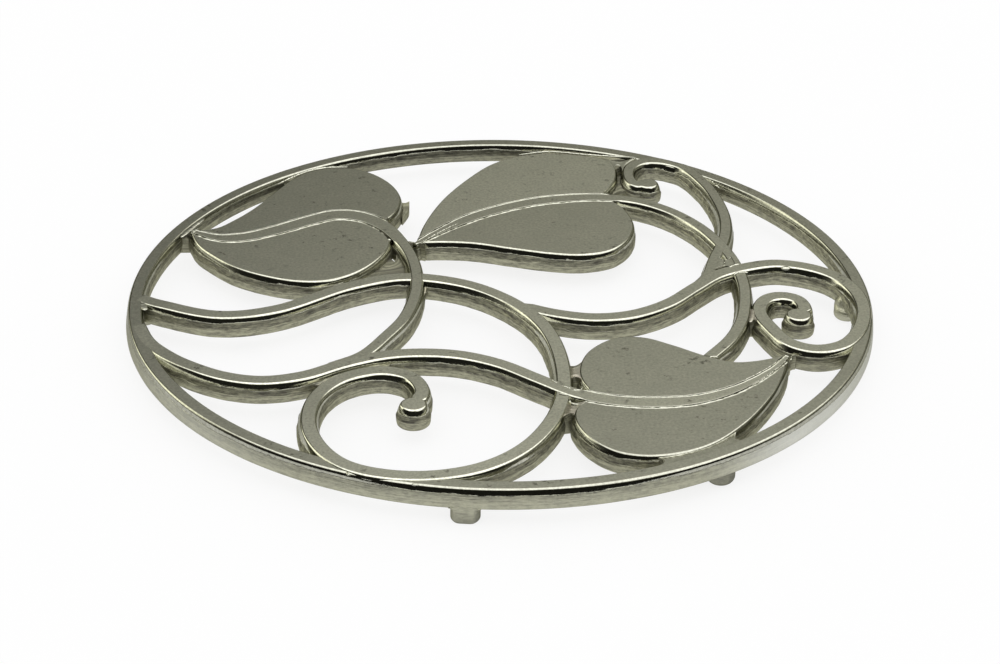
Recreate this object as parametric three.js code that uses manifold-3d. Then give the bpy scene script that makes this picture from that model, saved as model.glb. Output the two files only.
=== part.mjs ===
// Round openwork trivet: a metal rim filled with leafy vine scrolls, standing on short stub feet.
// Millimetres, +Z up. The origin is the middle of the circle on the table that the feet stand round.
import * as THREE from 'three';
import { mergeVertices } from 'three/addons/utils/BufferGeometryUtils.js';
import Module from 'manifold-3d';

const wasm = await Module();
wasm.setup();

// Driving dimensions

// The rim, with its heights below and above the parting line of the mould
const RIM_DIAMETER = 180;
const RIM_WIDTH = 3.7;
const RIM_LOWER_HEIGHT = 2.2;
const RIM_UPPER_HEIGHT = 2.6;
const RIM_BULGE = 0.6;
const RIM_FACETS = 96;

// The vines and leaves stand slightly proud of the rim
const VINE_RISE = 0.3;
const VINE_WIDTH = 4;
const TENDRIL_WIDTH = 3.5;
const MIDRIB_A_WIDTH = 5;
const MIDRIB_B_WIDTH = 4;
const MIDRIB_TIP_WIDTH = 1.2;
const BULB_DIAMETER = 6.5;
const TENDRIL_BULB_DIAMETER = 6;

// The walls swell from the broken top edge to the parting line, then draw in again
const EDGE_BREAK = 0.35;
const WALL_BULGE = 0.85;
const BOTTOM_SWELL = 0.45;

// The feet, each at an angle round the rim and with its middle at a distance inside the rim's outer edge
const FOOT_DIAMETER = 6.5;
const FOOT_HEIGHT = 3.6;
const FOOT_FLARE = 0.8;
const FOOT_ROUND = 1.2;
const FOOT_PLACES = [[3, 4.5], [85, 3], [181, 3], [265.5, 1.8], [304, 3.2]];

// Gap at every brazed joint
const JOINT_GAP = 0.3;

// Steps between two points of a drawn curve, facets of a bulb or foot, steps of a rounded corner
const CURVE_STEPS = 3;
const ROUND_FACETS = 20;
const CORNER_STEPS = 3;

// How far a cut runs past the metal, and how far a corner may run out when an outline grows, as a multiple
const OVERSHOOT = 1;
const CORNER_REACH = 1.6;

const METAL = new THREE.MeshStandardMaterial({ color: 0xa3a195, roughness: 0.35, metalness: 1 });

// Heights worked out from the dimensions
const BOTTOM = FOOT_HEIGHT;
const PARTING = BOTTOM + RIM_LOWER_HEIGHT;
const RIM_TOP = PARTING + RIM_UPPER_HEIGHT;
const VINE_TOP = RIM_TOP + VINE_RISE;
const RIM_RADIUS = RIM_DIAMETER / 2;
const PATTERN_SCALE = RIM_RADIUS / 100;

// The vine pattern: points on the centre line of each bar, x to the right and y away from the viewer,
// in hundredths of the rim's radius. A width is a list of [share of the bar's length, width] pairs.
const PATTERN = {
  scroll_vine: {
    path: [
      [-97.8, -5.1], [-90.4, -9.6], [-74.4, -15.4], [-60, -12], [-40.3, 2.4], [-26.7, 7.8], [-10.1, 4.3],
      [3.8, -6.8], [11.9, -20.2], [16, -40], [15.1, -60.4], [6.9, -80], [-5, -90.7], [-21.1, -94.4],
      [-36.6, -89.7], [-45.7, -75.4], [-46, -58.4], [-39.6, -47.7], [-30, -43.8], [-22.6, -46.7],
      [-19.3, -54.4], [-20.6, -59.3],
    ],
    width: [[0, VINE_WIDTH], [1, VINE_WIDTH]],
    bulb: { at: [-21.3, -60.9], diameter: BULB_DIAMETER },
  },
  branch_vine: {
    path: [
      [3.3, -7.1], [14.9, -12.4], [25, -14.4], [35.2, -12.4], [45.1, -5.8], [52.7, 3.3], [60, 11.6],
      [68.1, 16.1], [76.1, 18.3], [85.4, 16], [92.2, 10.7], [96, 3.2], [97.3, -5], [96.5, -13.2], [93.5, -22],
      [89, -28], [82.1, -30.3], [75.7, -27.2], [71.9, -19.9], [69.2, -10], [71.7, -2.7], [75.8, -0.9],
      [79.9, -2.6], [81.4, -6.6], [81.1, -9.9],
    ],
    width: [[0, VINE_WIDTH], [1, VINE_WIDTH]],
    bulb: { at: [79.5, -11.5], diameter: BULB_DIAMETER },
  },
  tendril: {
    path: [
      [50.6, 0.1], [56.6, 10.3], [59.2, 20.3], [63.3, 35], [64.2, 47.3], [62.7, 59.6], [59.9, 70],
      [54.1, 81.4], [47.8, 85.1], [42.2, 84.8], [38.4, 80.2], [37.7, 74], [39.2, 69.3], [42.2, 68],
    ],
    width: [[0, TENDRIL_WIDTH], [1, TENDRIL_WIDTH]],
    bulb: { at: [43.1, 69.6], diameter: TENDRIL_BULB_DIAMETER },
  },
  leaf_a_stem: {
    path: [
      [-42.8, -42.1], [-35.6, -36.4], [-29.4, -25], [-25.3, -15.4], [-22.9, -1.7], [-23.1, 10], [-24.9, 20.4],
      [-28.2, 29.8], [-33.2, 38.9], [-40.2, 44.7], [-47.6, 45.7], [-55, 41.6], [-63.3, 35.7], [-71.8, 30.9],
      [-78.9, 30], [-86.7, 33.9],
    ],
    width: [
      [0, TENDRIL_WIDTH], [0.5, TENDRIL_WIDTH], [0.68, MIDRIB_A_WIDTH], [0.92, VINE_WIDTH],
      [1, MIDRIB_TIP_WIDTH],
    ],
  },
  leaf_b_stem: {
    path: [
      [-24.3, 27.6], [-16.8, 36.6], [-8.8, 44.8], [-1, 50.4], [9.4, 55.8], [20, 58.6], [30.3, 59.3],
      [39.4, 57.3], [48.4, 51.2], [56, 41.8], [60.4, 33.1], [63.6, 24], [65.4, 15.1], [66.3, 5], [65.7, -5],
      [64, -15], [60.2, -25.1], [53.9, -35.4],
    ],
    width: [
      [0, MIDRIB_TIP_WIDTH], [0.12, TENDRIL_WIDTH], [0.28, MIDRIB_B_WIDTH], [0.4, TENDRIL_WIDTH],
      [1, TENDRIL_WIDTH],
    ],
  },
  leaf_c_stem: {
    path: [
      [-95.6, -19.9], [-91.6, -29.4], [-87.2, -35.2], [-80, -42], [-70, -47.9], [-60, -49.9], [-49.7, -47.2],
      [-39.7, -40.7], [-29.9, -36.2], [-20, -34.7], [-10, -35.7], [-0.1, -39.9], [9.7, -47.4], [19.8, -54.9],
      [29.9, -58.2], [40, -58.7], [50, -56.9], [60, -51.2], [69, -42.1], [74.2, -34.4],
    ],
    width: [[0, VINE_WIDTH], [0.8, VINE_WIDTH], [0.96, MIDRIB_TIP_WIDTH], [1, MIDRIB_TIP_WIDTH]],
  },
};

// The leaves: tip, base where the stem comes in, and points along the edge on each side from tip to base
const LEAVES = {
  leaf_a: {
    tip: [-88.1, 34],
    base: [-34.4, 40.2],
    upper: [
      [-81.1, 36], [-76.6, 41.2], [-71.8, 48.7], [-62, 69], [-57.9, 74], [-52.7, 77], [-45.7, 77.4],
      [-38.8, 74.2], [-32.4, 66.7], [-29.2, 58], [-29.2, 51.6], [-31.1, 45.6],
    ],
    lower: [
      [-84.9, 25.3], [-79.6, 18.2], [-73, 11.6], [-64.3, 6.7], [-55.6, 4], [-47.6, 4.3], [-40.6, 8.4],
      [-34.7, 16], [-31.1, 25.6], [-31.3, 32.2],
    ],
  },
  leaf_b: {
    tip: [-23.8, 28],
    base: [28.9, 59.8],
    upper: [
      [-22.4, 39], [-17.6, 55.8], [-10.3, 70.9], [-3.3, 81.3], [4.8, 87.4], [14.1, 89.8], [25.1, 88],
      [31.7, 85.1], [34.1, 80], [33.9, 71.7], [31.8, 65.6],
    ],
    lower: [
      [-17.8, 28.8], [-8, 28.3], [2.6, 25.3], [14.1, 22.4], [22.8, 21.8], [30.9, 24.8], [36.1, 32],
      [38, 41.7], [35.6, 51.8], [32.7, 56.2],
    ],
  },
  leaf_c: {
    tip: [74.8, -33.6],
    base: [24.4, -56.1],
    upper: [
      [70, -35.6], [65, -37.3], [60, -37.8], [54, -35.2], [45, -29.2], [37.6, -25.3], [30, -25.8],
      [23, -32.6], [20.3, -41.1], [20.4, -47.2], [22, -52],
    ],
    lower: [
      [73.4, -41.1], [70, -51.6], [65, -61.8], [60, -69.6], [52.6, -78], [45, -82.6], [36, -84.6],
      [28.3, -82.8], [22, -76.6], [18.6, -68.3], [18.8, -62.8], [21.1, -59.2],
    ],
  },
};

// Half-lap crossings, as [bar on top, bar below]: each gives way at the parting line
const LAPS = [
  ['scroll_vine', 'rim'],
  ['branch_vine', 'rim'],
  ['tendril', 'rim'],
  ['leaf_a_stem', 'scroll_vine'],
  ['leaf_c_stem', 'scroll_vine'],
  ['branch_vine', 'leaf_b_stem'],
  ['leaf_b_stem', 'tendril'],
];

// Everywhere else the later piece in this list is trimmed to fit against the earlier one
const TRIM_ORDER = [
  'rim', 'scroll_vine', 'leaf_c_stem', 'branch_vine', 'leaf_a_stem', 'leaf_c', 'leaf_b_stem', 'tendril',
  'leaf_a', 'leaf_b',
];

// A smooth curve through points of the pattern, scaled to the rim
function patternCurve(points) {
  const placed = points.map(([x, y]) => new THREE.Vector3(x * PATTERN_SCALE, y * PATTERN_SCALE, 0));
  return new THREE.CatmullRomCurve3(placed, false, 'centripetal');
}

// The curve as points with the sideways direction at each, to the left of the run
function stationsOf(curve) {
  const steps = (curve.points.length - 1) * CURVE_STEPS;
  return Array.from({ length: steps + 1 }, (_, i) => {
    const at = curve.getPoint(i / steps);
    const run = curve.getTangent(i / steps);
    return { x: at.x, y: at.y, sideX: -run.y, sideY: run.x };
  });
}

// Straight-line value between [share, value] pairs
function valueAt(pairs, share) {
  const next = Math.max(1, pairs.findIndex(([end]) => end >= share));
  const [[start, low], [end, high]] = [pairs[next - 1], pairs[next]];
  return THREE.MathUtils.mapLinear(share, start, end, low, high);
}

// Outline of a bar: its left edge, then its right edge back again, both moved out by offset
function barOutline(curve, width, offset) {
  const stations = stationsOf(curve);
  const edge = (sign) => stations.map(({ x, y, sideX, sideY }, i) => {
    const half = valueAt(width, i / (stations.length - 1)) / 2;
    const reach = sign * Math.max(half + offset, half / 3);
    return new THREE.Vector2(x + sideX * reach, y + sideY * reach);
  });
  return [...edge(-1), ...edge(1).reverse()];
}

function discOutline([x, y], diameter, offset) {
  const radius = diameter / 2 + offset;
  return Array.from({ length: ROUND_FACETS }, (_, i) => {
    const turn = (2 * Math.PI * i) / ROUND_FACETS;
    return new THREE.Vector2(
      x * PATTERN_SCALE + radius * Math.cos(turn),
      y * PATTERN_SCALE + radius * Math.sin(turn),
    );
  });
}

// Outline of a leaf: one edge from tip to base, then the other edge back to the tip
function leafOutline({ tip, base, upper, lower }) {
  const edge = (points) => {
    const stations = stationsOf(patternCurve([tip, ...points, base]));
    return stations.map(({ x, y }) => new THREE.Vector2(x, y));
  };
  const outline = [...edge(upper).slice(0, -1), ...edge(lower).reverse().slice(0, -1)];
  return THREE.ShapeUtils.isClockWise(outline) ? outline.reverse() : outline;
}

// A counter-clockwise outline moved outwards along its corners' bisectors
function movedOut(outline, offset) {
  return outline.map((corner, i) => {
    const before = outline.at(i - 1);
    const after = outline[(i + 1) % outline.length];
    const first = new THREE.Vector2(corner.y - before.y, before.x - corner.x).normalize();
    const second = new THREE.Vector2(after.y - corner.y, corner.x - after.x).normalize();
    const bisector = first.add(second).normalize();
    const stretch = 1 / Math.max(bisector.dot(second), 1 / CORNER_REACH);
    return corner.clone().addScaledVector(bisector, offset * stretch);
  });
}

// Heights and outward offsets of a wall, top to bottom: the piece itself, the room to leave for it all through,
// and the room to leave for its half above or below the parting line at a half-lap
function wallLevels(top, bulge) {
  const gap = JOINT_GAP;
  const widest = bulge + gap;
  const above = [[top + OVERSHOOT, gap], [top - EDGE_BREAK, gap], [PARTING, widest]];
  const below = [[PARTING, widest], [BOTTOM, BOTTOM_SWELL + gap], [BOTTOM - OVERSHOOT, BOTTOM_SWELL + gap]];
  return {
    piece: [[top, -EDGE_BREAK], [top - EDGE_BREAK, 0], [PARTING, bulge], [BOTTOM, BOTTOM_SWELL]],
    room: [...above, ...below.slice(1)],
    upperRoom: [...above, [PARTING - gap / 2, widest]],
    lowerRoom: [[PARTING + gap / 2, widest], ...below],
  };
}

const RIM_WALL = wallLevels(RIM_TOP, RIM_BULGE);
const VINE_WALL = wallLevels(VINE_TOP, WALL_BULGE);

function solidFrom(geometry) {
  geometry.deleteAttribute('normal');
  geometry.deleteAttribute('uv');
  const closed = mergeVertices(geometry);
  const vertProperties = new Float32Array(closed.getAttribute('position').array);
  const triVerts = new Uint32Array(closed.getIndex().array);
  return new wasm.Manifold(new wasm.Mesh({ numProp: 3, vertProperties, triVerts }));
}

function geometryFrom(solid) {
  const { vertProperties, triVerts } = solid.getMesh();
  const geometry = new THREE.BufferGeometry();
  geometry.setAttribute('position', new THREE.BufferAttribute(vertProperties, 3));
  geometry.setIndex(new THREE.BufferAttribute(triVerts, 1));
  const flat = geometry.toNonIndexed();
  flat.computeVertexNormals();
  return flat;
}

// A plate whose outline changes with height: walls between the levels, flat faces at the top and bottom
function plate(outlineAt, levels) {
  const rings = levels.map(([height, offset]) => outlineAt(offset).map(({ x, y }) => [x, y, height]));
  const count = rings[0].length;
  const index = [];
  for (let level = 0; level + 1 < rings.length; level += 1) {
    for (let i = 0; i < count; i += 1) {
      const a = level * count + i;
      const b = level * count + ((i + 1) % count);
      index.push(a, a + count, b, b, a + count, b + count);
    }
  }
  const lowest = (rings.length - 1) * count;
  const flatFace = (ring) => {
    const outline = ring.map(([x, y]) => new THREE.Vector2(x, y));
    return THREE.ShapeUtils.triangulateShape(outline, []);
  };
  flatFace(rings[0]).forEach(([a, b, c]) => index.push(a, b, c));
  flatFace(rings.at(-1)).forEach(([a, b, c]) => index.push(lowest + a, lowest + c, lowest + b));
  const geometry = new THREE.BufferGeometry();
  geometry.setAttribute('position', new THREE.Float32BufferAttribute(rings.flat(2), 3));
  geometry.setIndex(index);
  return solidFrom(geometry);
}

// The rim: its wall profile on both sides of the ring, turned about the middle
function rimSolid(levels) {
  const inner = RIM_RADIUS - RIM_WIDTH;
  const outside = levels.map(([height, offset]) => new THREE.Vector2(RIM_RADIUS + offset, height));
  const inside = levels.map(([height, offset]) => new THREE.Vector2(inner - offset, height));
  const profile = [...outside.reverse(), ...inside];
  profile.push(profile[0].clone());
  const ring = new THREE.LatheGeometry(profile, RIM_FACETS);
  ring.rotateX(Math.PI / 2);
  return solidFrom(ring);
}

// A bar of the pattern with the round bulb at the end of its scroll
function vineSolid({ path, width, bulb }, levels) {
  const curve = patternCurve(path);
  const bar = plate((offset) => barOutline(curve, width, offset), levels);
  return bulb ? bar.add(plate((offset) => discOutline(bulb.at, bulb.diameter, offset), levels)) : bar;
}

function leafSolid(leaf, levels) {
  const outline = leafOutline(leaf);
  return plate((offset) => movedOut(outline, offset), levels);
}

function makerOf(name) {
  if (name === 'rim') {
    return (part) => rimSolid(RIM_WALL[part]);
  }
  if (name in PATTERN) {
    return (part) => vineSolid(PATTERN[name], VINE_WALL[part]);
  }
  return (part) => leafSolid(LEAVES[name], VINE_WALL[part]);
}

// The largest body of a cut piece: what a cut leaves loose at a feather edge is filed away
function mainBody(solid) {
  const bodies = solid.decompose();
  return bodies.reduce((largest, body) => (body.volume() > largest.volume() ? body : largest));
}

// The blade of a leaf, already parted by its midrib, that lies along the given edge
function bladeAlong(leaf, edge) {
  const points = edge.map(([x, y]) => new THREE.Vector2(x, y).multiplyScalar(PATTERN_SCALE));
  const middle = points.reduce((sum, point) => sum.add(point)).divideScalar(points.length);
  const distance = (body) => {
    const { min, max } = body.boundingBox();
    return middle.distanceTo(new THREE.Vector2((min[0] + max[0]) / 2, (min[1] + max[1]) / 2));
  };
  const [first, second] = leaf.decompose().sort((a, b) => b.volume() - a.volume());
  return distance(first) < distance(second) ? first : second;
}

const isLap = (over, under) => LAPS.some(([upper, lower]) => upper === over && lower === under);

// A piece of the flat pattern, cut for every neighbour that it gives way to
function fitted(name) {
  const place = TRIM_ORDER.indexOf(name);
  let solid = makerOf(name)('piece');
  TRIM_ORDER.forEach((other, otherPlace) => {
    if (isLap(name, other)) {
      solid = solid.subtract(makerOf(other)('lowerRoom'));
    } else if (isLap(other, name)) {
      solid = solid.subtract(makerOf(other)('upperRoom'));
    } else if (otherPlace < place) {
      solid = solid.subtract(makerOf(other)('room'));
    }
  });
  return solid;
}

// A stub foot under the rim: round end, flared root, trimmed flush with the rim's outer wall
function footSolid([angle, inset]) {
  const radius = FOOT_DIAMETER / 2;
  const top = FOOT_HEIGHT - JOINT_GAP;
  const end = new THREE.Path();
  end.moveTo(0, 0);
  end.lineTo(radius - FOOT_ROUND, 0);
  end.absarc(radius - FOOT_ROUND, FOOT_ROUND, FOOT_ROUND, -Math.PI / 2, 0, false);
  end.absarc(radius + FOOT_FLARE, top - FOOT_FLARE, FOOT_FLARE, Math.PI, Math.PI / 2, true);
  end.lineTo(0, top);
  const stub = new THREE.LatheGeometry(end.getPoints(CORNER_STEPS), ROUND_FACETS);
  stub.rotateX(Math.PI / 2);
  stub.translate(RIM_RADIUS - inset, 0, 0);
  stub.rotateZ(THREE.MathUtils.degToRad(angle));
  const outside = RIM_RADIUS + BOTTOM_SWELL;
  const flush = new THREE.CylinderGeometry(outside, outside, 2 * RIM_TOP, RIM_FACETS);
  flush.rotateX(Math.PI / 2);
  return solidFrom(stub).intersect(solidFrom(flush));
}

function addPiece(group, name, solid) {
  const mesh = new THREE.Mesh(geometryFrom(solid), METAL);
  mesh.name = name;
  group.add(mesh);
}

const trivet = new THREE.Group();
TRIM_ORDER.forEach((name) => {
  const solid = fitted(name);
  if (name in LEAVES) {
    addPiece(trivet, `${name}_upper_blade`, bladeAlong(solid, LEAVES[name].upper));
    addPiece(trivet, `${name}_lower_blade`, bladeAlong(solid, LEAVES[name].lower));
  } else {
    addPiece(trivet, name, mainBody(solid));
  }
});
FOOT_PLACES.forEach((place, i) => addPiece(trivet, `foot_${i + 1}`, footSolid(place)));

export default trivet;
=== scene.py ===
"""Round openwork trivet: a metal rim filled with leafy vine scrolls, on short stub feet.

Every bar is a rounded section carried along a drawn centre line, and every leaf blade is a flat-topped
plate between its edge and its midrib. All of it shares one metal: satin tops, bright edges, cast walls.
"""

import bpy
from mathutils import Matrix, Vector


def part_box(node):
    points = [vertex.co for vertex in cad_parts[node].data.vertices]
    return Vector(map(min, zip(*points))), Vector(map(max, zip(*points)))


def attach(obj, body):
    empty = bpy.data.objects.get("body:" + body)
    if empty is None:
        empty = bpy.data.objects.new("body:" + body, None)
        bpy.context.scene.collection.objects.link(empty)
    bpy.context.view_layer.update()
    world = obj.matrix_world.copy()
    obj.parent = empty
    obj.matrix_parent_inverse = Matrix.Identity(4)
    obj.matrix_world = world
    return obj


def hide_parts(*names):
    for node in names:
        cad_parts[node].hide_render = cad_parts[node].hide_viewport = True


bl_info = {
    "name": "Vine Trivet",
    "version": (1, 0, 0),
    "blender": (4, 5, 0),
    "location": "View3D > Sidebar > Trivet",
    "description": "Builds an openwork vine trivet and its photo table",
    "category": "Add Mesh",
}

import bpy
import numpy as np
from bpy.props import FloatProperty, FloatVectorProperty, PointerProperty
from mathutils import Matrix, Vector

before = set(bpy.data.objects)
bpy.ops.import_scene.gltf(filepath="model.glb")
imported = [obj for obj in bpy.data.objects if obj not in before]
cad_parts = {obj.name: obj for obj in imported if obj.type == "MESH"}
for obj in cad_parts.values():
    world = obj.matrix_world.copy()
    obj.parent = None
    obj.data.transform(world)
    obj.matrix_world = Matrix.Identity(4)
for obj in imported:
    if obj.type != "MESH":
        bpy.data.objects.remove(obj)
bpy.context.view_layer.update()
BODY = "root"
MM = 0.001

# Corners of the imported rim, and the highest corner of a packed leaf
RIM_LOW, RIM_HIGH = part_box("rim")
LEAF_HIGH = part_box("leaf_b_lower_blade")[1]

# Picture that the camera is set for
PHOTO_WIDTH = 1000
SENSOR_WIDTH = 36.0

# Fitted view, in rim radii: focal length in pixels, tilt and roll in degrees, and the camera's place
VIEW_FOCAL = 2430.0
VIEW_TILT = 28.70
VIEW_ROLL = 0.647
VIEW_ACROSS = -0.00125
VIEW_UP = -0.1094
VIEW_BACK = 6.57

# Points of the vine pattern on the centre line of each bar, in hundredths of the rim's radius.
# width: pairs of share of the length and name of a size. bulb: middle of the round end and name of its size.
# layer: order of bars whose tops meet flush.
BARS = {
    "scroll_vine": {
        "path": [
            (-97.8, -5.1), (-90.4, -9.6), (-74.4, -15.4), (-60, -12), (-40.3, 2.4), (-26.7, 7.8),
            (-10.1, 4.3), (3.8, -6.8), (11.9, -20.2), (16, -40), (15.1, -60.4), (6.9, -80), (-5, -90.7),
            (-21.1, -94.4), (-36.6, -89.7), (-45.7, -75.4), (-46, -58.4), (-39.6, -47.7), (-30, -43.8),
            (-22.6, -46.7), (-19.3, -54.4), (-20.6, -59.3),
        ],
        "width": [(0, "vine_width")],
        "bulb": ((-21.3, -60.9), "bulb_diameter"),
        "layer": 1,
    },
    "branch_vine": {
        "path": [
            (3.3, -7.1), (14.9, -12.4), (25, -14.4), (35.2, -12.4), (45.1, -5.8), (52.7, 3.3), (60, 11.6),
            (68.1, 16.1), (76.1, 18.3), (85.4, 16), (92.2, 10.7), (96, 3.2), (97.3, -5), (96.5, -13.2),
            (93.5, -22), (89, -28), (82.1, -30.3), (75.7, -27.2), (71.9, -19.9), (69.2, -10), (71.7, -2.7),
            (75.8, -0.9), (79.9, -2.6), (81.4, -6.6), (81.1, -9.9),
        ],
        "width": [(0, "midrib_tip_width"), (0.025, "vine_width")],
        "bulb": ((79.5, -11.5), "bulb_diameter"),
        "layer": 2,
    },
    "tendril": {
        "path": [
            (50.6, 0.1), (56.6, 10.3), (59.2, 20.3), (63.3, 35), (64.2, 47.3), (62.7, 59.6), (59.9, 70),
            (54.1, 81.4), (47.8, 85.1), (42.2, 84.8), (38.4, 80.2), (37.7, 74), (39.2, 69.3), (42.2, 68),
        ],
        "width": [(0, "tendril_width")],
        "bulb": ((43.1, 69.6), "tendril_bulb_diameter"),
        "layer": 4,
    },
    "leaf_a_stem": {
        "path": [
            (-42.8, -42.1), (-35.6, -36.4), (-29.4, -25), (-25.3, -15.4), (-22.9, -1.7), (-23.1, 10),
            (-24.9, 20.4), (-28.2, 29.8), (-33.2, 38.9), (-40.2, 44.7), (-47.6, 45.7), (-55, 41.6),
            (-63.3, 35.7), (-71.8, 30.9), (-78.9, 30), (-86.7, 33.9),
        ],
        "width": [
            (0.5, "tendril_width"), (0.68, "midrib_a_width"), (0.92, "vine_width"), (1, "midrib_tip_width"),
        ],
        "layer": 3,
    },
    "leaf_b_stem": {
        "path": [
            (-24.3, 27.6), (-16.8, 36.6), (-8.8, 44.8), (-1, 50.4), (9.4, 55.8), (20, 58.6), (30.3, 59.3),
            (39.4, 57.3), (48.4, 51.2), (56, 41.8), (60.4, 33.1), (63.6, 24), (65.4, 15.1), (66.3, 5),
            (65.7, -5), (64, -15), (60.2, -25.1), (53.9, -35.4),
        ],
        "width": [
            (0, "midrib_tip_width"), (0.12, "tendril_width"), (0.28, "midrib_b_width"), (0.4, "tendril_width"),
        ],
        "layer": 3,
    },
    "leaf_c_stem": {
        "path": [
            (-95.6, -19.9), (-91.6, -29.4), (-87.2, -35.2), (-80, -42), (-70, -47.9), (-60, -49.9),
            (-49.7, -47.2), (-39.7, -40.7), (-29.9, -36.2), (-20, -34.7), (-10, -35.7), (-0.1, -39.9),
            (9.7, -47.4), (19.8, -54.9), (29.9, -58.2), (40, -58.7), (50, -56.9), (60, -51.2), (69, -42.1),
            (74.2, -34.4),
        ],
        "width": [(0.8, "vine_width"), (0.96, "midrib_tip_width")],
        "layer": 2,
    },
}

# Leaves: tip, base at the stem, edge points on each side from tip to base, and whether the upper blade lies to
# the left of the run of the leaf's stem
LEAVES = {
    "leaf_a": {
        "tip": (-88.1, 34),
        "base": (-34.4, 40.2),
        "upper": [
            (-81.1, 36), (-76.6, 41.2), (-71.8, 48.7), (-62, 69), (-57.9, 74), (-52.7, 77), (-45.7, 77.4),
            (-38.8, 74.2), (-32.4, 66.7), (-29.2, 58), (-29.2, 51.6), (-31.1, 45.6),
        ],
        "lower": [
            (-84.9, 25.3), (-79.6, 18.2), (-73, 11.6), (-64.3, 6.7), (-55.6, 4), (-47.6, 4.3), (-40.6, 8.4),
            (-34.7, 16), (-31.1, 25.6), (-31.3, 32.2),
        ],
        "upper_left": False,
    },
    "leaf_b": {
        "tip": (-23.8, 28),
        "base": (28.9, 59.8),
        "upper": [
            (-22.4, 39), (-17.6, 55.8), (-10.3, 70.9), (-3.3, 81.3), (4.8, 87.4), (14.1, 89.8), (25.1, 88),
            (31.7, 85.1), (34.1, 80), (33.9, 71.7), (31.8, 65.6),
        ],
        "lower": [
            (-17.8, 28.8), (-8, 28.3), (2.6, 25.3), (14.1, 22.4), (22.8, 21.8), (30.9, 24.8), (36.1, 32),
            (38, 41.7), (35.6, 51.8), (32.7, 56.2),
        ],
        "upper_left": True,
    },
    "leaf_c": {
        "tip": (74.8, -33.6),
        "base": (24.4, -56.1),
        "upper": [
            (70, -35.6), (65, -37.3), (60, -37.8), (54, -35.2), (45, -29.2), (37.6, -25.3), (30, -25.8),
            (23, -32.6), (20.3, -41.1), (20.4, -47.2), (22, -52),
        ],
        "lower": [
            (73.4, -41.1), (70, -51.6), (65, -61.8), (60, -69.6), (52.6, -78), (45, -82.6), (36, -84.6),
            (28.3, -82.8), (22, -76.6), (18.6, -68.3), (18.8, -62.8), (21.1, -59.2),
        ],
        "upper_left": True,
    },
}

# Crossings as (bar below, bar above, millimetres that the lower top gives way)
CROSSINGS = [
    ("scroll_vine", "leaf_a_stem", 0.1),
    ("scroll_vine", "leaf_c_stem", 0.14),
    ("leaf_b_stem", "branch_vine", 0.16),
    ("tendril", "leaf_b_stem", 0.1),
]
# Millimetres from the crossing at which the lower bar starts to give way
CROSSING_REACH = 18.0
# Bars whose first end runs flush into the rim, the millimetres over which they come down to it, the share of
# their length in which they do so, and the millimetres that the very end dives
FLUSH_BARS = ("scroll_vine", "leaf_c_stem")
FLUSH_REACH = 7.0
FLUSH_SHARE = 0.2
END_DIVE = 1.0
# Millimetres between the tops of two layers, so that no two faces lie in one plane
LAYER_STEP = 0.005

# Millimetres between the stations of a bar, of a bar that crosses another, of a leaf's edge or a fill's side,
# and of a bead, and the stations over which the bends of bars and leaf edges are evened
BAR_SPACING = 0.45
CROSSING_SPACING = 1.0
EDGE_SPACING = 0.4
BEAD_SPACING = 0.2
BAR_EASE = 4
EDGE_EASE = 3
# Steps of a drawn curve from one of its points to the next, and the least number of its even steps
FINE_STEPS = 24
LEAST_STEPS = 4
# Shares across a bar's flat faces, and columns and stations of the other surfaces
FLAT = np.array([-0.97, -0.7, -0.35, 0, 0.35, 0.7, 0.97])
LEAF_COLUMNS = 16
LEAF_MARGIN = 0.01
FILL_COLUMNS = 9
BEAD_COLUMNS = 16
BULB_COLUMNS = 6
DROP_RINGS = 14
FOOT_RINGS = 9
SOLE_RINGS = 5
RIM_STATIONS = 1080
BULB_STATIONS = 72
DROP_STATIONS = 36
FOOT_STATIONS = 64

# Wall of a bar or leaf from the top edge down: millimetres outwards from the drawn edge, share of the depth
VINE_WALL = np.array([
    (-0.66, 0.0), (-0.61, 0.0015), (-0.53, 0.006), (-0.44, 0.014), (-0.35, 0.027), (-0.26, 0.046),
    (-0.17, 0.072), (-0.08, 0.11), (0.02, 0.155), (0.12, 0.205), (0.22, 0.26), (0.31, 0.32), (0.40, 0.39),
    (0.49, 0.46), (0.58, 0.52), (0.68, 0.545), (0.73, 0.56), (0.73, 0.58), (0.72, 0.61), (0.70, 0.68),
    (0.67, 0.77), (0.61, 0.88), (0.52, 0.95), (0.36, 0.988), (0.05, 1.0),
])
RIM_OUTER = np.array([
    (-0.72, 0.0), (-0.67, 0.0015), (-0.59, 0.006), (-0.50, 0.014), (-0.41, 0.026), (-0.32, 0.042),
    (-0.23, 0.064), (-0.15, 0.092), (-0.08, 0.125), (-0.02, 0.162), (0.03, 0.205), (0.08, 0.255),
    (0.13, 0.31), (0.19, 0.37), (0.25, 0.44), (0.32, 0.52), (0.38, 0.60), (0.43, 0.68), (0.46, 0.76),
    (0.47, 0.83), (0.45, 0.89), (0.39, 0.945), (0.27, 0.985), (0.05, 1.0),
])
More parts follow.
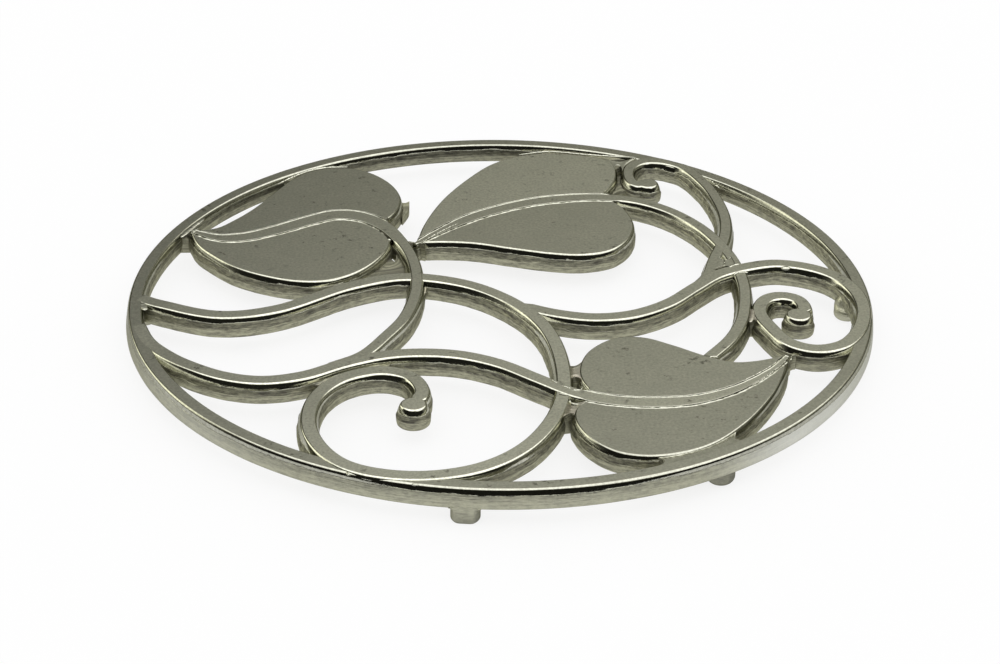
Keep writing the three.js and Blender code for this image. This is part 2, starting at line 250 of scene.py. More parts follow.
# The rim's outer wall at the front, where its edge is worn rounder. Only its last six points are like the rest.
RIM_FRONT = np.vstack([
    [(-0.78, 0.0), (-0.73, 0.0015), (-0.65, 0.006), (-0.56, 0.014), (-0.47, 0.026), (-0.38, 0.042),
     (-0.29, 0.065), (-0.19, 0.10), (-0.09, 0.143), (0.01, 0.188), (0.10, 0.233), (0.18, 0.278), (0.25, 0.325),
     (0.30, 0.38), (0.34, 0.44), (0.38, 0.52), (0.41, 0.60), (0.44, 0.68)],
    RIM_OUTER[-6:],
])
RIM_INNER = np.array([
    (-0.62, 0.0), (-0.57, 0.0015), (-0.50, 0.006), (-0.42, 0.014), (-0.34, 0.026), (-0.26, 0.044),
    (-0.17, 0.072), (-0.08, 0.112), (0.02, 0.16), (0.12, 0.215), (0.21, 0.27), (0.30, 0.33), (0.38, 0.40),
    (0.46, 0.47), (0.54, 0.53), (0.58, 0.545), (0.60, 0.56), (0.59, 0.58), (0.57, 0.64), (0.54, 0.74),
    (0.49, 0.85), (0.40, 0.94), (0.26, 0.985), (0.05, 1.0),
])
# Stretches of the rim as angle of the middle, reach to both sides and ease in degrees: where the front is worn,
# where the outer wall gets painted sheen, each with the share of it, and where the inner wall gets painted shade
RIM_WORN = (273.0, 26.0, 14.0)
RIM_SHEEN = [((331.0, 34.0, 22.0), 0.75), ((212.0, 32.0, 25.0), 0.2)]
RIM_SHADED = (112.0, 45.0, 15.0)
# Shares of its brightness that the painted shade takes from the far inner wall, at two depths, more above than
# below
SHADE_DEPTHS = (0.5, 0.62)
SHADE_SHARES = (0.5, 0.25)
# Share of the cast finish that the rim's outer wall and the feet have
OUTER_RIM_CAST = 0.7
# Share of the bulge that walls facing right lack, and share of the edge's rounding that walls facing away lack
RIGHT_STEEP = 0.45
FAR_CRISP = 0.7
# Millimetres that a bar's wall stays inside the rim's outer wall where it laps onto the rim
LAP_INSET = 0.08
# Least share of its half width that a bar keeps where its walls draw in
LEAST_HALF = 0.3
# Edges of the grooves along a midrib: the far side falls straight, the near side carries a low burr. Below the
# rings of the groove's flank they go on as a plain wall.
GROOVE_RINGS = 8
GROOVE_FAR = np.vstack([
    [(-0.08, 0.0), (-0.07, 0.001), (-0.05, 0.004), (-0.03, 0.010), (-0.015, 0.02), (-0.005, 0.04), (0.0, 0.06),
     (0.0, 0.09)],
    VINE_WALL[GROOVE_RINGS:],
])
GROOVE_NEAR = np.vstack([
    [(-0.55, 0.0), (-0.50, -0.003), (-0.40, -0.010), (-0.28, -0.018), (-0.18, -0.021), (-0.10, -0.018),
     (-0.04, -0.004), (0.0, 0.05)],
    VINE_WALL[GROOVE_RINGS:],
])
# Edge of a midrib and of a blade at the groove between it and the upper or lower blade
RIB_GROOVES = {"upper": GROOVE_NEAR, "lower": GROOVE_FAR}
BLADE_GROOVES = {"upper": GROOVE_FAR, "lower": GROOVE_NEAR}
# Millimetres that a groove is wide, and stations over which a midrib's plain edge turns into it
GROOVE_GAP = 0.35
GROOVE_EASE = 5
# Millimetres of width below which a blade's edges draw in
BLADE_SLIM = 1.2

# Unevenness of hand work: steps of the sines in one uneven line as shares of its wave's, and the waves of a ring
WAVER_STEPS = np.array([0.6, 1.0, 1.7, 2.9])
RING_WAVES = np.array([5, 11, 17, 29, 41])
# Uneven lines as (wave in millimetres, depth, shift of the seed): height of a burr, level of the parting line
# and swell of a wall as shares, side of a groove and top of a fill in millimetres
BURR_WAVES = [(9, 0.7, 0), (1.5, 0.35, 7)]
PARTING_WAVES = [(14, 0.05, 0), (4, 0.015, 50)]
SWELL_WAVES = [(12, 0.2, 100)]
GROOVE_WAVES = [(6, 0.14, 0)]
FILL_WAVES = [(5, 0.05, 0)]
# Mean height of a burr and its limits, as shares
BURR_MEAN = 0.9
BURR_LIMITS = (0.35, 1.5)
# Share of the depth at which the parting line runs, its reach, and the depth from which a wall swells
PARTING_DEPTH = 0.55
PARTING_REACH = 0.1
SWELL_DEPTH = 0.3
# Swell of the rim's walls, and the first seeds of the rim and of the leaves
RIM_SWELL = 0.15
RIM_SEED = 30
LEAF_SEED = 20

# Shares by which the tops of pieces are brighter or darker than plain metal
TONES = {
    "rim": 0.88, "scroll_vine": 1.15, "branch_vine": 1.08,
    "leaf_a_stem": 1.05, "leaf_a_upper": 0.96, "leaf_a_lower": 1.03,
    "leaf_b_stem": 1.05, "leaf_b_upper": 1.22, "leaf_b_lower": 1.02,
    "leaf_c_stem": 1.12, "leaf_c_upper": 0.96, "leaf_c_lower": 0.87,
}
# Millimetres over which a bar draws in before its bulb, and the share of its width that it loses there
BULB_EASE = 1.6
BULB_NECK = 0.5

# Feet: angle round the rim in degrees, then in millimetres how far the middle lies inside the rim's edge, the
# rounding at the sole, the flare at the root, the height of the root inside the rim and the reach over the
# rim's radius, and last the shares of the rim's brightness at the sole and at the root
# The last two shares darken a foot's colour: on the fifth foot, set in under the rim, it is painted shade
FEET = [
    (3, 4.5, 1.3, 0, 3.2, -0.3, 1, 1),
    (85, 3, 1.0, 0.8, 0.8, -0.3, 0.7, 0.7),
    (181, 3, 1.0, 0.8, 0.8, -0.3, 0.7, 0.7),
    (265.5, 1.8, 0.7, 0.8, 0.8, 0.52, 0.38, 1),
    (304, 3.2, 1.8, 0.8, 0.8, -0.3, 0.36, 0.36),
]
# How far a foot's front leans back over each millimetre above the rim's underside
FOOT_LEAN = 0.12
# A foot's right side, which gets painted shade: how far it has to face right to count, the ease, and the share of
# brightness that the painted shade takes
FOOT_RIGHT = 0.45
FOOT_RIGHT_EASE = 0.25
FOOT_SHADE = 0.4
# Share of a wall's depth whose finish a foot has at its root
FOOT_MARK = 0.66

# Fills between neighbours: points along one side, points along the other, millimetres that the fill lies below
# the leaf tops, and millimetres that it climbs the first and the second side
PLAIN_FILLS = [
    ([(-86, 36.6), (-86.6, 33.6), (-86.9, 31)], [(-89.6, 38.5), (-91.2, 34.6), (-92.2, 31)], 0.38, 0.25, 0.0),
    ([(-61.5, 67.5), (-57, 72.5), (-52.3, 75.8), (-46.5, 76.8)],
     [(-66.3, 70.1), (-60.7, 75), (-55.4, 79), (-50.1, 82.5)], 1.2, 0.2, 0.3),
    ([(11.5, 88.5), (19, 88.5), (27, 86.5), (33, 83.5)],
     [(12.1, 95.7), (21.7, 94), (31.4, 91.2), (39.4, 88.1)], 1.3, 0.2, 0.3),
    ([(32, 85.5), (33.8, 80), (34.4, 75), (32.6, 66)],
     [(40.5, 86.5), (37.6, 80), (36.4, 75), (38.6, 67)], 2.2, 0.1, 0.1),
    ([(27, 87.3), (31, 85.2), (33, 82), (33.9, 78.5)],
     [(40.5, 87.2), (38.5, 84.3), (36.8, 81.2), (36, 77.5)], 0.06, 0.0, 0.0),
    ([(37, -83.8), (45, -81.8), (52.6, -77), (58.5, -70.5)],
     [(37.8, -89.1), (46.9, -84.7), (54.1, -80.3), (60.1, -75.9)], 0.44, 0.3, 0.13),
    ([(-47, -50), (-40, -42.5), (-33, -38.5), (-26, -36)],
     [(-45, -54), (-38.5, -47), (-32, -44), (-26, -44.5)], 1.5, 0.3, 0.3),
    ([(73.6, -34.6), (75, -33.8)], [(75.4, -31.2), (76.8, -31.8)], 1.0, 0.1, 0.1),
    ([(-46, 5.3), (-40.6, 9), (-35, 16), (-31.7, 25)],
     [(-29, 8), (-26, 10), (-26, 17), (-29.5, 27)], 2.4, 0.1, 0.1),
    ([(58.5, 13.6), (60, 17.8), (60.6, 22.5)], [(65, 14.5), (64.8, 18.5), (64, 22.5)], 0.06, 0.0, 0.0),
    ([(-21.4, 29), (-21.2, 27.5)], [(-26, 29.4), (-25.6, 27.5)], 0.04, 0.0, 0.0),
]
# Pale stub of a gate left on a leaf's side
STUBS = [([(-30.4, 61.5), (-29.2, 56.5), (-29.6, 51)], [(-27, 61.5), (-27, 56), (-28.6, 50)], 2.7, 0.3, 0.0)]
# Fills of pale solder
WARM_FILLS = [
    ([(17, -39.5), (17.3, -44), (17.2, -48.4)], [(22, -36.5), (21, -43), (21.2, -48.4)], 0.25, 0.1, 0.1),
    ([(16.8, -57), (16.5, -62), (15.8, -66)], [(22.5, -57.5), (19.8, -62), (19.5, -66.5)], 0.3, 0.1, 0.1),
    ([(65.8, -15), (66.4, -11.5), (66.8, -8.5)], [(69.5, -16.5), (68.2, -12), (68.2, -9)], 0.15, 0.05, 0.05),
]
# Columns close to a fill's first side, where it climbs, and the column at which the even ones start
FILL_NEAR = (0, 0.015, 0.035, 0.06, 0.1)
FILL_EVEN = 0.15
# Powers of the share across with which a fill climbs its first and second side, and of the share along it with
# which its ends sag
FILL_CLIMBS = (8, 2)
FILL_ENDS = 6
# Millimetres between the rim's underside and a fill's, and the most that the ends sag
FILL_LIFT = 0.15
FILL_SAG = 0.1
# Most that the ends draw in as a share of the length, and the same as a share of the gap
FILL_DRAW = 0.45
FILL_DRAW_GAP = 0.5
# Drop in millimetres from which a fill gets the darker wall finish as painted shade, for it lies deep, share of
# the wall's depth whose finish such a fill and the gate's stub have, and what is added where a fill climbs
DEEP_DROP = 0.8
DEEP_MARK = 0.44
STUB_MARK = 0.85
CLIMB_MARK = 0.1
# Share of the wall's depth whose bright finish drops and fine beads have
BRIGHT_MARK = 0.02
# Drops of solder: place in the pattern, then half length, half width and height over the leaf tops in millimetres
DROPS = [((78.7, 15.8), 1.2, 0.75, -0.35)]
DROP_HEIGHT = 0.45
# Beads of solder along seams: points, half width, and depth of the middle below the leaf tops in millimetres
BEADS = [
    ([(63, 15.4), (64.4, 16.7), (66.2, 17.6)], 0.35, 0.1),
    ([(63.9, 10.9), (65, 12.1), (66.6, 12.5), (68, 12.4)], 0.3, 0.1),
    ([(62.1, 20.9), (61.8, 16.3)], 0.2, 0.15),
    ([(13, -47.9), (13.8, -49.1), (14.7, -49.8)], 0.2, 0.1),
    ([(15.5, -51.1), (16.8, -51.8), (18, -52.6)], 0.22, 0.1),
    ([(18.1, -53.3), (19.2, -53.3), (20.6, -53)], 0.3, 0.1),
    ([(20.6, -48.9), (20.9, -51), (20.6, -53)], 0.2, 0.15),
    ([(17.3, -57.3), (17.9, -59.5), (18.8, -60.2), (20.1, -60)], 0.25, 0.15),
    ([(14.9, -55.2), (15.9, -55.5), (17.1, -55.8)], 0.2, 0.1),
    ([(-95.9, -8.2), (-95.1, -10.4), (-94.3, -12.6)], 0.8, 0.5),
    ([(-85, 43.1), (-87.6, 37.6), (-90.2, 30.9)], 0.7, 0.5),
    ([(-66, 66.3), (-62, 71.4), (-57.5, 75.8), (-52.5, 78.3), (-46, 79)], 0.4, 0.35),
    ([(5, 88.6), (14.2, 91), (25.4, 89.2), (33, 88.2), (40.5, 87.6)], 0.3, 0.15),
    ([(61.4, 73), (62.3, 71.5), (63.3, 69.1), (64.2, 67)], 0.35, 0.3),
    ([(53.9, -35.8), (54.9, -35.2), (56.2, -35.5)], 0.25, 0.1),
    ([(75.2, -33.5), (74.9, -36.6)], 0.3, 0.15),
    ([(61, -47.9), (64.5, -45), (68.1, -41.3), (71.4, -37.4), (73.4, -34.9)], 0.22, 0.12),
    ([(63.4, -50.2), (67, -46.3), (70, -42.3), (72.6, -38.4), (74.3, -35.6)], 0.22, 0.12),
    ([(-22.4, 27.6), (-20.5, 31), (-18, 34.4), (-15.2, 37.8), (-11.8, 41.6)], 0.22, 0.12),
    ([(-36, -92.6), (-35.6, -93.4), (-35.2, -93.9)], 0.3, 0.45),
    ([(-20.4, -97.6), (-19.6, -97.7), (-18.6, -97.8)], 0.3, 0.45),
]
WARM_BEADS = [
    ([(-20.5, 7.9), (-20.8, 3.8), (-21.3, -0.9)], 0.6, 1.9),
    ([(66.2, -16), (67, -12.5), (67.5, -8.6)], 0.6, 0.22),
]
BEAD_HEIGHT = 0.25
# Half width in millimetres from which a bead is left satin, wave of a bead's width in millimetres, and the
# share by which the width of a satin and of a fine bead changes
BEAD_SATIN = 0.6
BEAD_WAVE = 2.0
SATIN_UNEVEN = 0.15
FINE_UNEVEN = 0.5
# Least square of the share to which a bead is drawn in at its ends
BEAD_POINT = 0.02
# Objects made of fills and beads, with the share of the wall's depth whose darker finish their deep fills have as
# painted shade
FILL_GROUPS = [
    ("plain_fills", PLAIN_FILLS, [], DEEP_MARK),
    ("warm_fills", WARM_FILLS, WARM_BEADS, DEEP_MARK),
    ("gate_stub", STUBS, [], STUB_MARK),
]

# Values that each point of a mesh carries for the finish, the third a brightness mark for painted shade and
# painted sheen
MARKS = ("depth", "cast", "painted_light", "tone")
# Noise of the finish on a piece as (scale over one metre, detail, roughness)
NOISES = {
    "clouds": (70.0, 4.0, 0.6),
    "grain": (1500.0, 3.0, 0.65),
    "patches": (160.0, 2.0, 0.5),
    "specks": (520.0, 3.0, 0.6),
    "blotches": (330.0, 3.0, 0.6),
    "pits": (2600.0, 2.0, 0.6),
}
# Noise on the walls, stretched along the bars: scales along and down the wall, detail, roughness
WALL_NOISES = {
    "mottle": ((500.0, 1300.0, 1.0), 4.0, 0.7),
    "lines": ((120.0, 3000.0, 1.0), 3.0, 0.6),
}
# Values of the noise between which dulled patches, grain, specks, seam and streaks come up
CLOUD_BAND = (0.36, 0.66)
PATCH_BAND = (0.48, 0.62)
SPECK_BAND = (0.605, 0.68)
SEAM_BAND = (0.35, 0.6)
LINE_BAND = (0.4, 0.6)
MOTTLE_BAND = (0.41, 0.59)
# Shares of the depth at which the flat top ends, the cast wall starts and the lower wall starts, and the
# parting line's dark seam with its reach
TOP_DEPTH = 0.006
CAST_DEPTHS = (0.27, 0.30)
LOWER_DEPTHS = (0.52, 0.60)
SEAM_DEPTH = 0.565
SEAM_REACH = 0.035
# Shares of tarnish in the grain, the specks and the seam
GRAIN_SHARE = 0.36
SPECK_SHARE = 0.8
SEAM_SHARE = 0.7
# Share of clean cast metal on the upper and on the lower wall, as (rise with the streaks, least)
UPPER_CLEAN = (0.8, -0.06)
LOWER_CLEAN = (0.85, 0.2)
# What a wall with less of the cast finish has more: share of clean metal, and likeness to the lower wall
PLAIN_CLEAN = 0.7
PLAIN_LOWER = 2.0
# Swing of the cast wall's start with the lines, the clouds and the mottle, and of the lower wall's start with the
# blotches, as shares of the depth
CAST_SWINGS = (0.16, 0.26, 0.1)
LOWER_SWING = 0.08
# Swing of the roughness of tops, edges and walls
TOP_SWING = 0.1
EDGE_SWING = 0.06
WALL_SWING = 0.3
# Bump: height of the grain on the tops, of the streaks on cast walls, and of blotches and pits beside the tops
GRAIN_BUMP = 0.2
STREAK_BUMP = 3.4
BLOTCH_BUMP = 0.5
PIT_BUMP = 0.35
BUMP_STRENGTH = 0.35
BUMP_DISTANCE = 0.00012

# Floor and light tent: radius in metres, corners or stations round, rings from below the floor to the top
FLOOR_RADIUS = 3.0
FLOOR_CORNERS = 96
TENT_RADIUS = 2.5
TENT_STATIONS = 64
TENT_RINGS = 24
TENT_FOOT = -0.02
# Share of its own light in the floor that the camera and the reflections see
FLOOR_GLOW = 0.82
SEEN_RAYS = ("Is Camera Ray", "Is Glossy Ray", "Is Transmission Ray")
WHITE = (1, 1, 1, 1)
# Bands of the direction's share ahead, across and up over which the tent's cloth changes
FRONT_AHEAD = (0.0, -0.35)
BACK_STEPS = [((-0.15, -0.01), 0.8), ((0.02, 0.2), 0.15)]
BACK_LEAST = 0.25
SKIRT_UP = (0.22, 0.34)
WINDOW_ACROSS = (-0.55, -0.75)
WINDOW_AHEAD = (0.0, 0.25)
WINDOW_UP = (0.08, 0.22)
ROOF_UP = (0.62, 0.82)
ROOF_ACROSS = (0.2, 0.6)
ROOF_LOWER = 0.2
CLIP_START = 0.01


def millimetres(name, description, default):
    """A length whose default is given in millimetres."""
    return FloatProperty(name=name, description=description, default=default * MM, unit="LENGTH")


def color(name, description, default):
    """A colour."""
    return FloatVectorProperty(name=name, description=description, default=default, subtype="COLOR", size=3)


def roughness(name, description, default):
    """A roughness between 0 and 1."""
    return FloatProperty(name=name, description=description, default=default, subtype="FACTOR", min=0, max=1)


def brightness(name, description, default):
    """A strength of light."""
    return FloatProperty(name=name, description=description, default=default, min=0)


class TrivetSizes(bpy.types.PropertyGroup):
    """Sizes of the trivet that a user would change."""

    rim_radius: millimetres("Rim radius", "Outer radius of the rim at its top edge", 90)
    rim_width: millimetres("Rim width", "Width of the rim's flat bar", 3.7)
    vine_width: millimetres("Vine width", "Width of the two scroll vines and leaf stems", 4)
    tendril_width: millimetres("Tendril width", "Width of the thinner stems", 3.5)
    midrib_a_width: millimetres("Left midrib width", "Widest part of the left leaf's midrib", 5)
    midrib_b_width: millimetres("Middle midrib width", "Widest part of the middle leaf's midrib", 4)
    midrib_tip_width: millimetres("Midrib tip width", "Width of a midrib at the leaf's tip", 1.2)
    bulb_diameter: millimetres("Bulb diameter", "Round end of a scroll", 6.5)
    tendril_bulb_diameter: millimetres("Tendril bulb diameter", "Round end of the tendril", 6)
    foot_diameter: millimetres("Foot diameter", "Width of a stub foot", 6.5)


class TrivetFinish(bpy.types.PropertyGroup):
    """Colours and gloss of the metal."""

    metal: color("Metal", "Colour of clean metal", (0.56, 0.56, 0.475))
    shade: color("Dulled metal", "Colour of dulled patches", (0.47, 0.47, 0.395))
    # Tarnish and painted shade: this dark colour gives specks, grain and the parting seam, and darkens the walls
    # of deep fills and of the feet's right sides as painted shade
    tarnish_and_shade: color("Tarnish", "Colour of specks and recesses", (0.12, 0.116, 0.096))
    cast: color("Cast metal", "Colour of the unpolished lower walls", (0.49, 0.484, 0.355))
    # Painted sheen: near-white colour that the rim's outer wall is blended towards where it stands in for a
    # bright reflection
    painted_sheen: color("Polished wall", "Colour of the rim's outer wall where it is polished", (0.95, 0.96, 0.92))
    solder: color("Solder", "Colour of the fills between neighbours", (0.72, 0.66, 0.57))
    grazing: color("Grazing metal", "Share of the light mirrored at a flat angle", (0.45, 0.45, 0.4))
    top_roughness: roughness("Top roughness", "Satin of the flat tops", 0.33)
    wall_roughness: roughness("Wall roughness", "Dullness of the cast walls", 0.5)
    edge_roughness: roughness("Edge roughness", "Gloss of the polished edges", 0.09)


class TrivetStage(bpy.types.PropertyGroup):
    """Floor and light of the photo table."""

    floor: color("Floor", "Colour of the floor", (0.97, 0.97, 0.97))
    sky: brightness("Sky", "Strength of the even light all round", 1.0)
    tent_grey: brightness("Tent wall", "Brightness of the tent's back", 0.288)
    tent_dark: brightness("Tent front", "Brightness of the tent's front", 0.018)
    tent_side: brightness("Tent skirt", "Brightness of the low band at the back", 0.18)
    tent_window: brightness("Tent window", "Brightness added on the left side", 2.2)
    tent_top: brightness("Tent roof", "Brightness of the tent's lit roof", 2.4)
    tent_color: color("Tent cloth", "Colour of the tent's cloth", (1.0, 0.99, 0.82))


class Wire:
    """A node's output: sums and products of wires add Math nodes."""

    def __init__(self, board, socket):
        self.board = board
        self.socket = socket

    def __add__(self, other):
        return self.board.math("ADD", self, other)

    def __radd__(self, other):
        return self.board.math("ADD", other, self)

    def __sub__(self, other):
        return self.board.math("SUBTRACT", self, other)

    def __rsub__(self, other):
        return self.board.math("SUBTRACT", other, self)

    def __mul__(self, other):
        return self.board.math("MULTIPLY", self, other)

    def __rmul__(self, other):
        return self.board.math("MULTIPLY", other, self)

    def clamp(self, low, high):
        """0 at low, 1 at high, straight between and flat outside."""
        return self.board.node(
            "ShaderNodeMapRange", {"clamp": True}, {"Value": self, "From Min": low, "From Max": high})

    def swing(self, width):
        """Noise as a change of half the width to both sides of 0."""
        return (self - 0.5) * width


class Board:
    """A node tree that nodes are added to by type, settings and socket values."""

    def __init__(self, tree):
        self.tree = tree
        tree.nodes.clear()

    def node(self, kind, settings=None, inputs=None, output=0):
        """Adds a node: settings are set first, then the sockets get their values or links."""
        made = self.tree.nodes.new(kind)
        for name, value in (settings or {}).items():
            setattr(made, name, value)
        pairs = inputs.items() if isinstance(inputs, dict) else enumerate(inputs or [])
        for key, value in pairs:
            socket = made.inputs[key]
            if isinstance(value, Wire):
                self.tree.links.new(value.socket, socket)
            else:
                socket.default_value = value
        return Wire(self, made.outputs[output]) if made.outputs else made

    def math(self, operation, *values):
        return self.node("ShaderNodeMath", {"operation": operation}, values)

    def mix_color(self, share, first, second):
        return self.node("ShaderNodeMix", {"data_type": "RGBA"}, {0: share, 6: first, 7: second}, output=2)

    def scale_color(self, first, share):
        return self.node("ShaderNodeVectorMath", {"operation": "SCALE"}, {0: first, "Scale": share})

    def noise(self, vector, scale, detail, roughness):
        return self.node(
            "ShaderNodeTexNoise", {"noise_dimensions": "3D"},
            {"Vector": vector, "Scale": scale, "Detail": detail, "Roughness": roughness})

    def stretched_noise(self, vector, scales, detail, roughness):
        """Noise with its own scale along each axis."""
        mapped = self.node("ShaderNodeMapping", None, {"Vector": vector, "Scale": scales})
        return self.noise(mapped, 1.0, detail, roughness)


def new_material(name):
    """A material and the board of its empty node tree."""
    material = bpy.data.materials.new(name)
    material.use_nodes = True
    return material, Board(material.node_tree)


def rgba(tint):
    """A colour with full alpha."""
    return (*tint, 1.0)


def between(a, b, at_a, at_b, t):
    """Straight blend of a at at_a and b at at_b."""
    return ((at_b - t) * a + (t - at_a) * b) / (at_b - at_a)


def running_length(curve):
    """Running sum of the chords from the curve's first point."""
    return np.concatenate([[0], np.cumsum(np.linalg.norm(np.diff(curve, axis=0), axis=1))])


def resample(at, stations, curve):
    """Points of a curve at given places, on the straight lines between its stations."""
    return np.stack([np.interp(at, stations, curve[:, k]) for k in range(2)], -1)


def smooth_path(points, spacing):
    """Centripetal Catmull-Rom curve through the points, with even stations about spacing apart.

    Knots are the running sum of the square roots of the chords. Each span blends its four nearest
    points three times over, for all spans and steps at once.
    """
    ends = np.vstack([2 * points[0] - points[1], points, 2 * points[-1] - points[-2]])
    knots = np.concatenate([[0], np.cumsum(np.linalg.norm(np.diff(ends, axis=0), axis=1) ** 0.5)])
    p0, p1, p2, p3 = (ends[i:len(ends) - 3 + i, None] for i in range(4))
    t0, t1, t2, t3 = (knots[i:len(knots) - 3 + i, None, None] for i in range(4))
    t = t1 + (t2 - t1) * np.linspace(0, 1, FINE_STEPS, endpoint=False)[None, :, None]
    a1 = between(p0, p1, t0, t1, t)
    a2 = between(p1, p2, t1, t2, t)
    a3 = between(p2, p3, t2, t3, t)
    b1 = between(a1, a2, t0, t2, t)
    b2 = between(a2, a3, t1, t3, t)
    curve = np.vstack([between(b1, b2, t1, t2, t).reshape(-1, 2), points[-1:]])
    lengths = running_length(curve)
    count = max(LEAST_STEPS, int(np.ceil(lengths[-1] / spacing)))
    return resample(np.linspace(0, lengths[-1], count + 1), lengths, curve)


def eased(curve, reach):
    """Moving average over reach stations on each side, with the ends kept, which evens the bends."""
    padded = np.vstack([
        2 * curve[:1] - curve[reach:0:-1],
        curve,
        2 * curve[-1:] - curve[-2:-reach - 2:-1],
    ])
    weights = np.hanning(2 * reach + 3)[1:-1]
    weights /= weights.sum()
    return np.stack([np.convolve(padded[:, k], weights, "valid") for k in range(2)], 1)


def smooth_step(x):
    """0 below 0, 1 above 1, and between them three times the square less twice the cube."""
    x = np.clip(x, 0, 1)
    return x * x * (3 - 2 * x)


def full_turn(count):
    """Even angles once round."""
    return np.linspace(0, 2 * np.pi, count, endpoint=False)


def sideways(curve):
    """Unit direction to the left of the run at each station."""
    run = np.gradient(curve, axis=0)
    run /= np.linalg.norm(run, axis=1)[:, None]
    return np.stack([-run[:, 1], run[:, 0]], 1)


def facing(curve, towards):
    """Sideways direction of a curve, turned as a whole so that it points along towards."""
    side = sideways(curve)
    return side * np.sign((side * towards).sum())


def waver(length, seed, wave, depth):
    """Slow unevenness of hand-finished metal: the mean of four sines with fixed phases."""
    phases = np.random.default_rng(seed).uniform(0, 2 * np.pi, len(WAVER_STEPS))
    steps = 2 * np.pi / wave * WAVER_STEPS
    return depth * np.sin(length[:, None] * steps + phases).mean(1)


def wavers(length, seed, waves):
    """Sum of uneven lines, each given as wave in millimetres, depth and shift of the seed."""
    return sum(waver(length, seed + shift, wave * MM, depth) for wave, depth, shift in waves)


def round_waver(turn, seed, depth):
    """Unevenness round a ring: the mean of five whole-number waves with fixed phases."""
    phases = np.random.default_rng(seed).uniform(0, 2 * np.pi, len(RING_WAVES))
    return depth * np.sin(turn[:, None] * RING_WAVES + phases).mean(1)


def stretch(turn, angle, reach, ease):
    """1 round an angle in degrees, 0 beyond the reach on both sides of it, with a soft rise over the ease."""
    apart = np.abs((np.degrees(turn) - angle + 180) % 360 - 180)
    return smooth_step((reach - apart) / ease)


def pattern_points(points, sizes):
    """Points of the pattern in metres: hundredths of the rim's radius."""
    return np.asarray(points, float) * sizes.rim_radius / 100


def bar_path(name, sizes, spacing=BAR_SPACING):
    """Centre line of a bar: the smooth curve through its points, with its bends evened."""
    return eased(smooth_path(pattern_points(BARS[name]["path"], sizes), spacing * MM), BAR_EASE)


def bar_half_width(name, sizes, share):
    """Half width of a bar at a share of its length, straight between the named sizes."""
    at, labels = zip(*BARS[name]["width"])
    return np.interp(share, at, [getattr(sizes, label) / 2 for label in labels])


def bar_tops(name, sizes, path, share):
    """Height of a bar's top: leaf height, less its layer step, its dips under other bars and its flush end."""
    tops = np.full(len(path), LEAF_HIGH.z - BARS[name]["layer"] * LAYER_STEP * MM)
    for below, above, depth in CROSSINGS:
        if below == name:
            over = bar_path(above, sizes, CROSSING_SPACING)
            distance = np.linalg.norm(path[:, None] - over[None], axis=2).min(1)
            tops -= depth * MM * smooth_step(1 - (distance - sizes.vine_width) / (CROSSING_REACH * MM))
    if name in FLUSH_BARS:
        inside = sizes.rim_radius - sizes.rim_width - np.linalg.norm(path, axis=1)
        blend = smooth_step(np.maximum(inside / (FLUSH_REACH * MM), share > FLUSH_SHARE))
        tops = (RIM_HIGH.z + LAYER_STEP * MM) * (1 - blend) + tops * blend
        tops -= END_DIVE * MM * (1 - smooth_step(running_length(path) / (END_DIVE * MM)))
    return tops


def closed_section(plus, minus):
    """Loops of a section along a bar as side, outward offset and share of depth: over the top from the minus
    side, down the plus wall, under, and up the minus wall. The walls are (stations, points, offset and depth).

    side is -1..1 across the flat faces and +1 or -1 on the walls.
    """
    rings = plus.shape[1]
    side = np.concatenate([FLAT, np.ones(rings), FLAT[::-1], -np.ones(rings)])
    flats = [np.where(row >= 0, plus[:, end, None, 0], minus[:, end, None, 0])
             for end, row in ((0, FLAT), (-1, FLAT[::-1]))]
    offset = np.hstack([flats[0], plus[:, :, 0], flats[1], minus[:, ::-1, 0]])
    level = np.zeros(flats[0].shape)
    depth = np.hstack([level, plus[:, :, 1], level + 1, minus[:, ::-1, 1]])
    return side, offset * MM, depth


def burred(depth, length, seed):
    """Depths whose part above the top, the burr, comes and goes along the length."""
    rise = np.clip(BURR_MEAN + wavers(length, seed, BURR_WAVES), *BURR_LIMITS)
    return np.where(depth < 0, depth * rise[:, None], depth)


def wall_waver(length, depth, seed):
    """Unevenness of a cast wall: the parting line wanders up and down, the rest swells in and out a little.

    The wander fades with the square of the distance from the parting line, as a bell.
    """
    middle = np.exp(-((depth - PARTING_DEPTH) / PARTING_REACH) ** 2)
    wander = wavers(length, seed, PARTING_WAVES)
    swell = 1 + wavers(length, seed, SWELL_WAVES)[:, None] * (depth > SWELL_DEPTH)
    return swell, depth + wander[:, None] * middle


def hand_finished(offset, outward):
    """Offsets of a wall that has less bulge where it faces right and a crisper edge where it faces away."""
    bulge = 1 - RIGHT_STEEP * np.clip(outward[..., 0], 0, 1)
    edge = 1 - FAR_CRISP * np.clip(outward[..., 1], 0, 1)
    return offset * np.where(offset > 0, bulge, edge)


def wall_uv(length, depth):
    """Length along the bar and length down its wall."""
    depth = np.broadcast_to(depth, (len(length), np.shape(depth)[-1]))
    down = np.cumsum(np.abs(np.diff(depth, prepend=depth[:, :1], axis=1)), 1) * (RIM_HIGH.z - RIM_LOW.z)
    return np.dstack([np.broadcast_to(length[:, None], depth.shape), down])


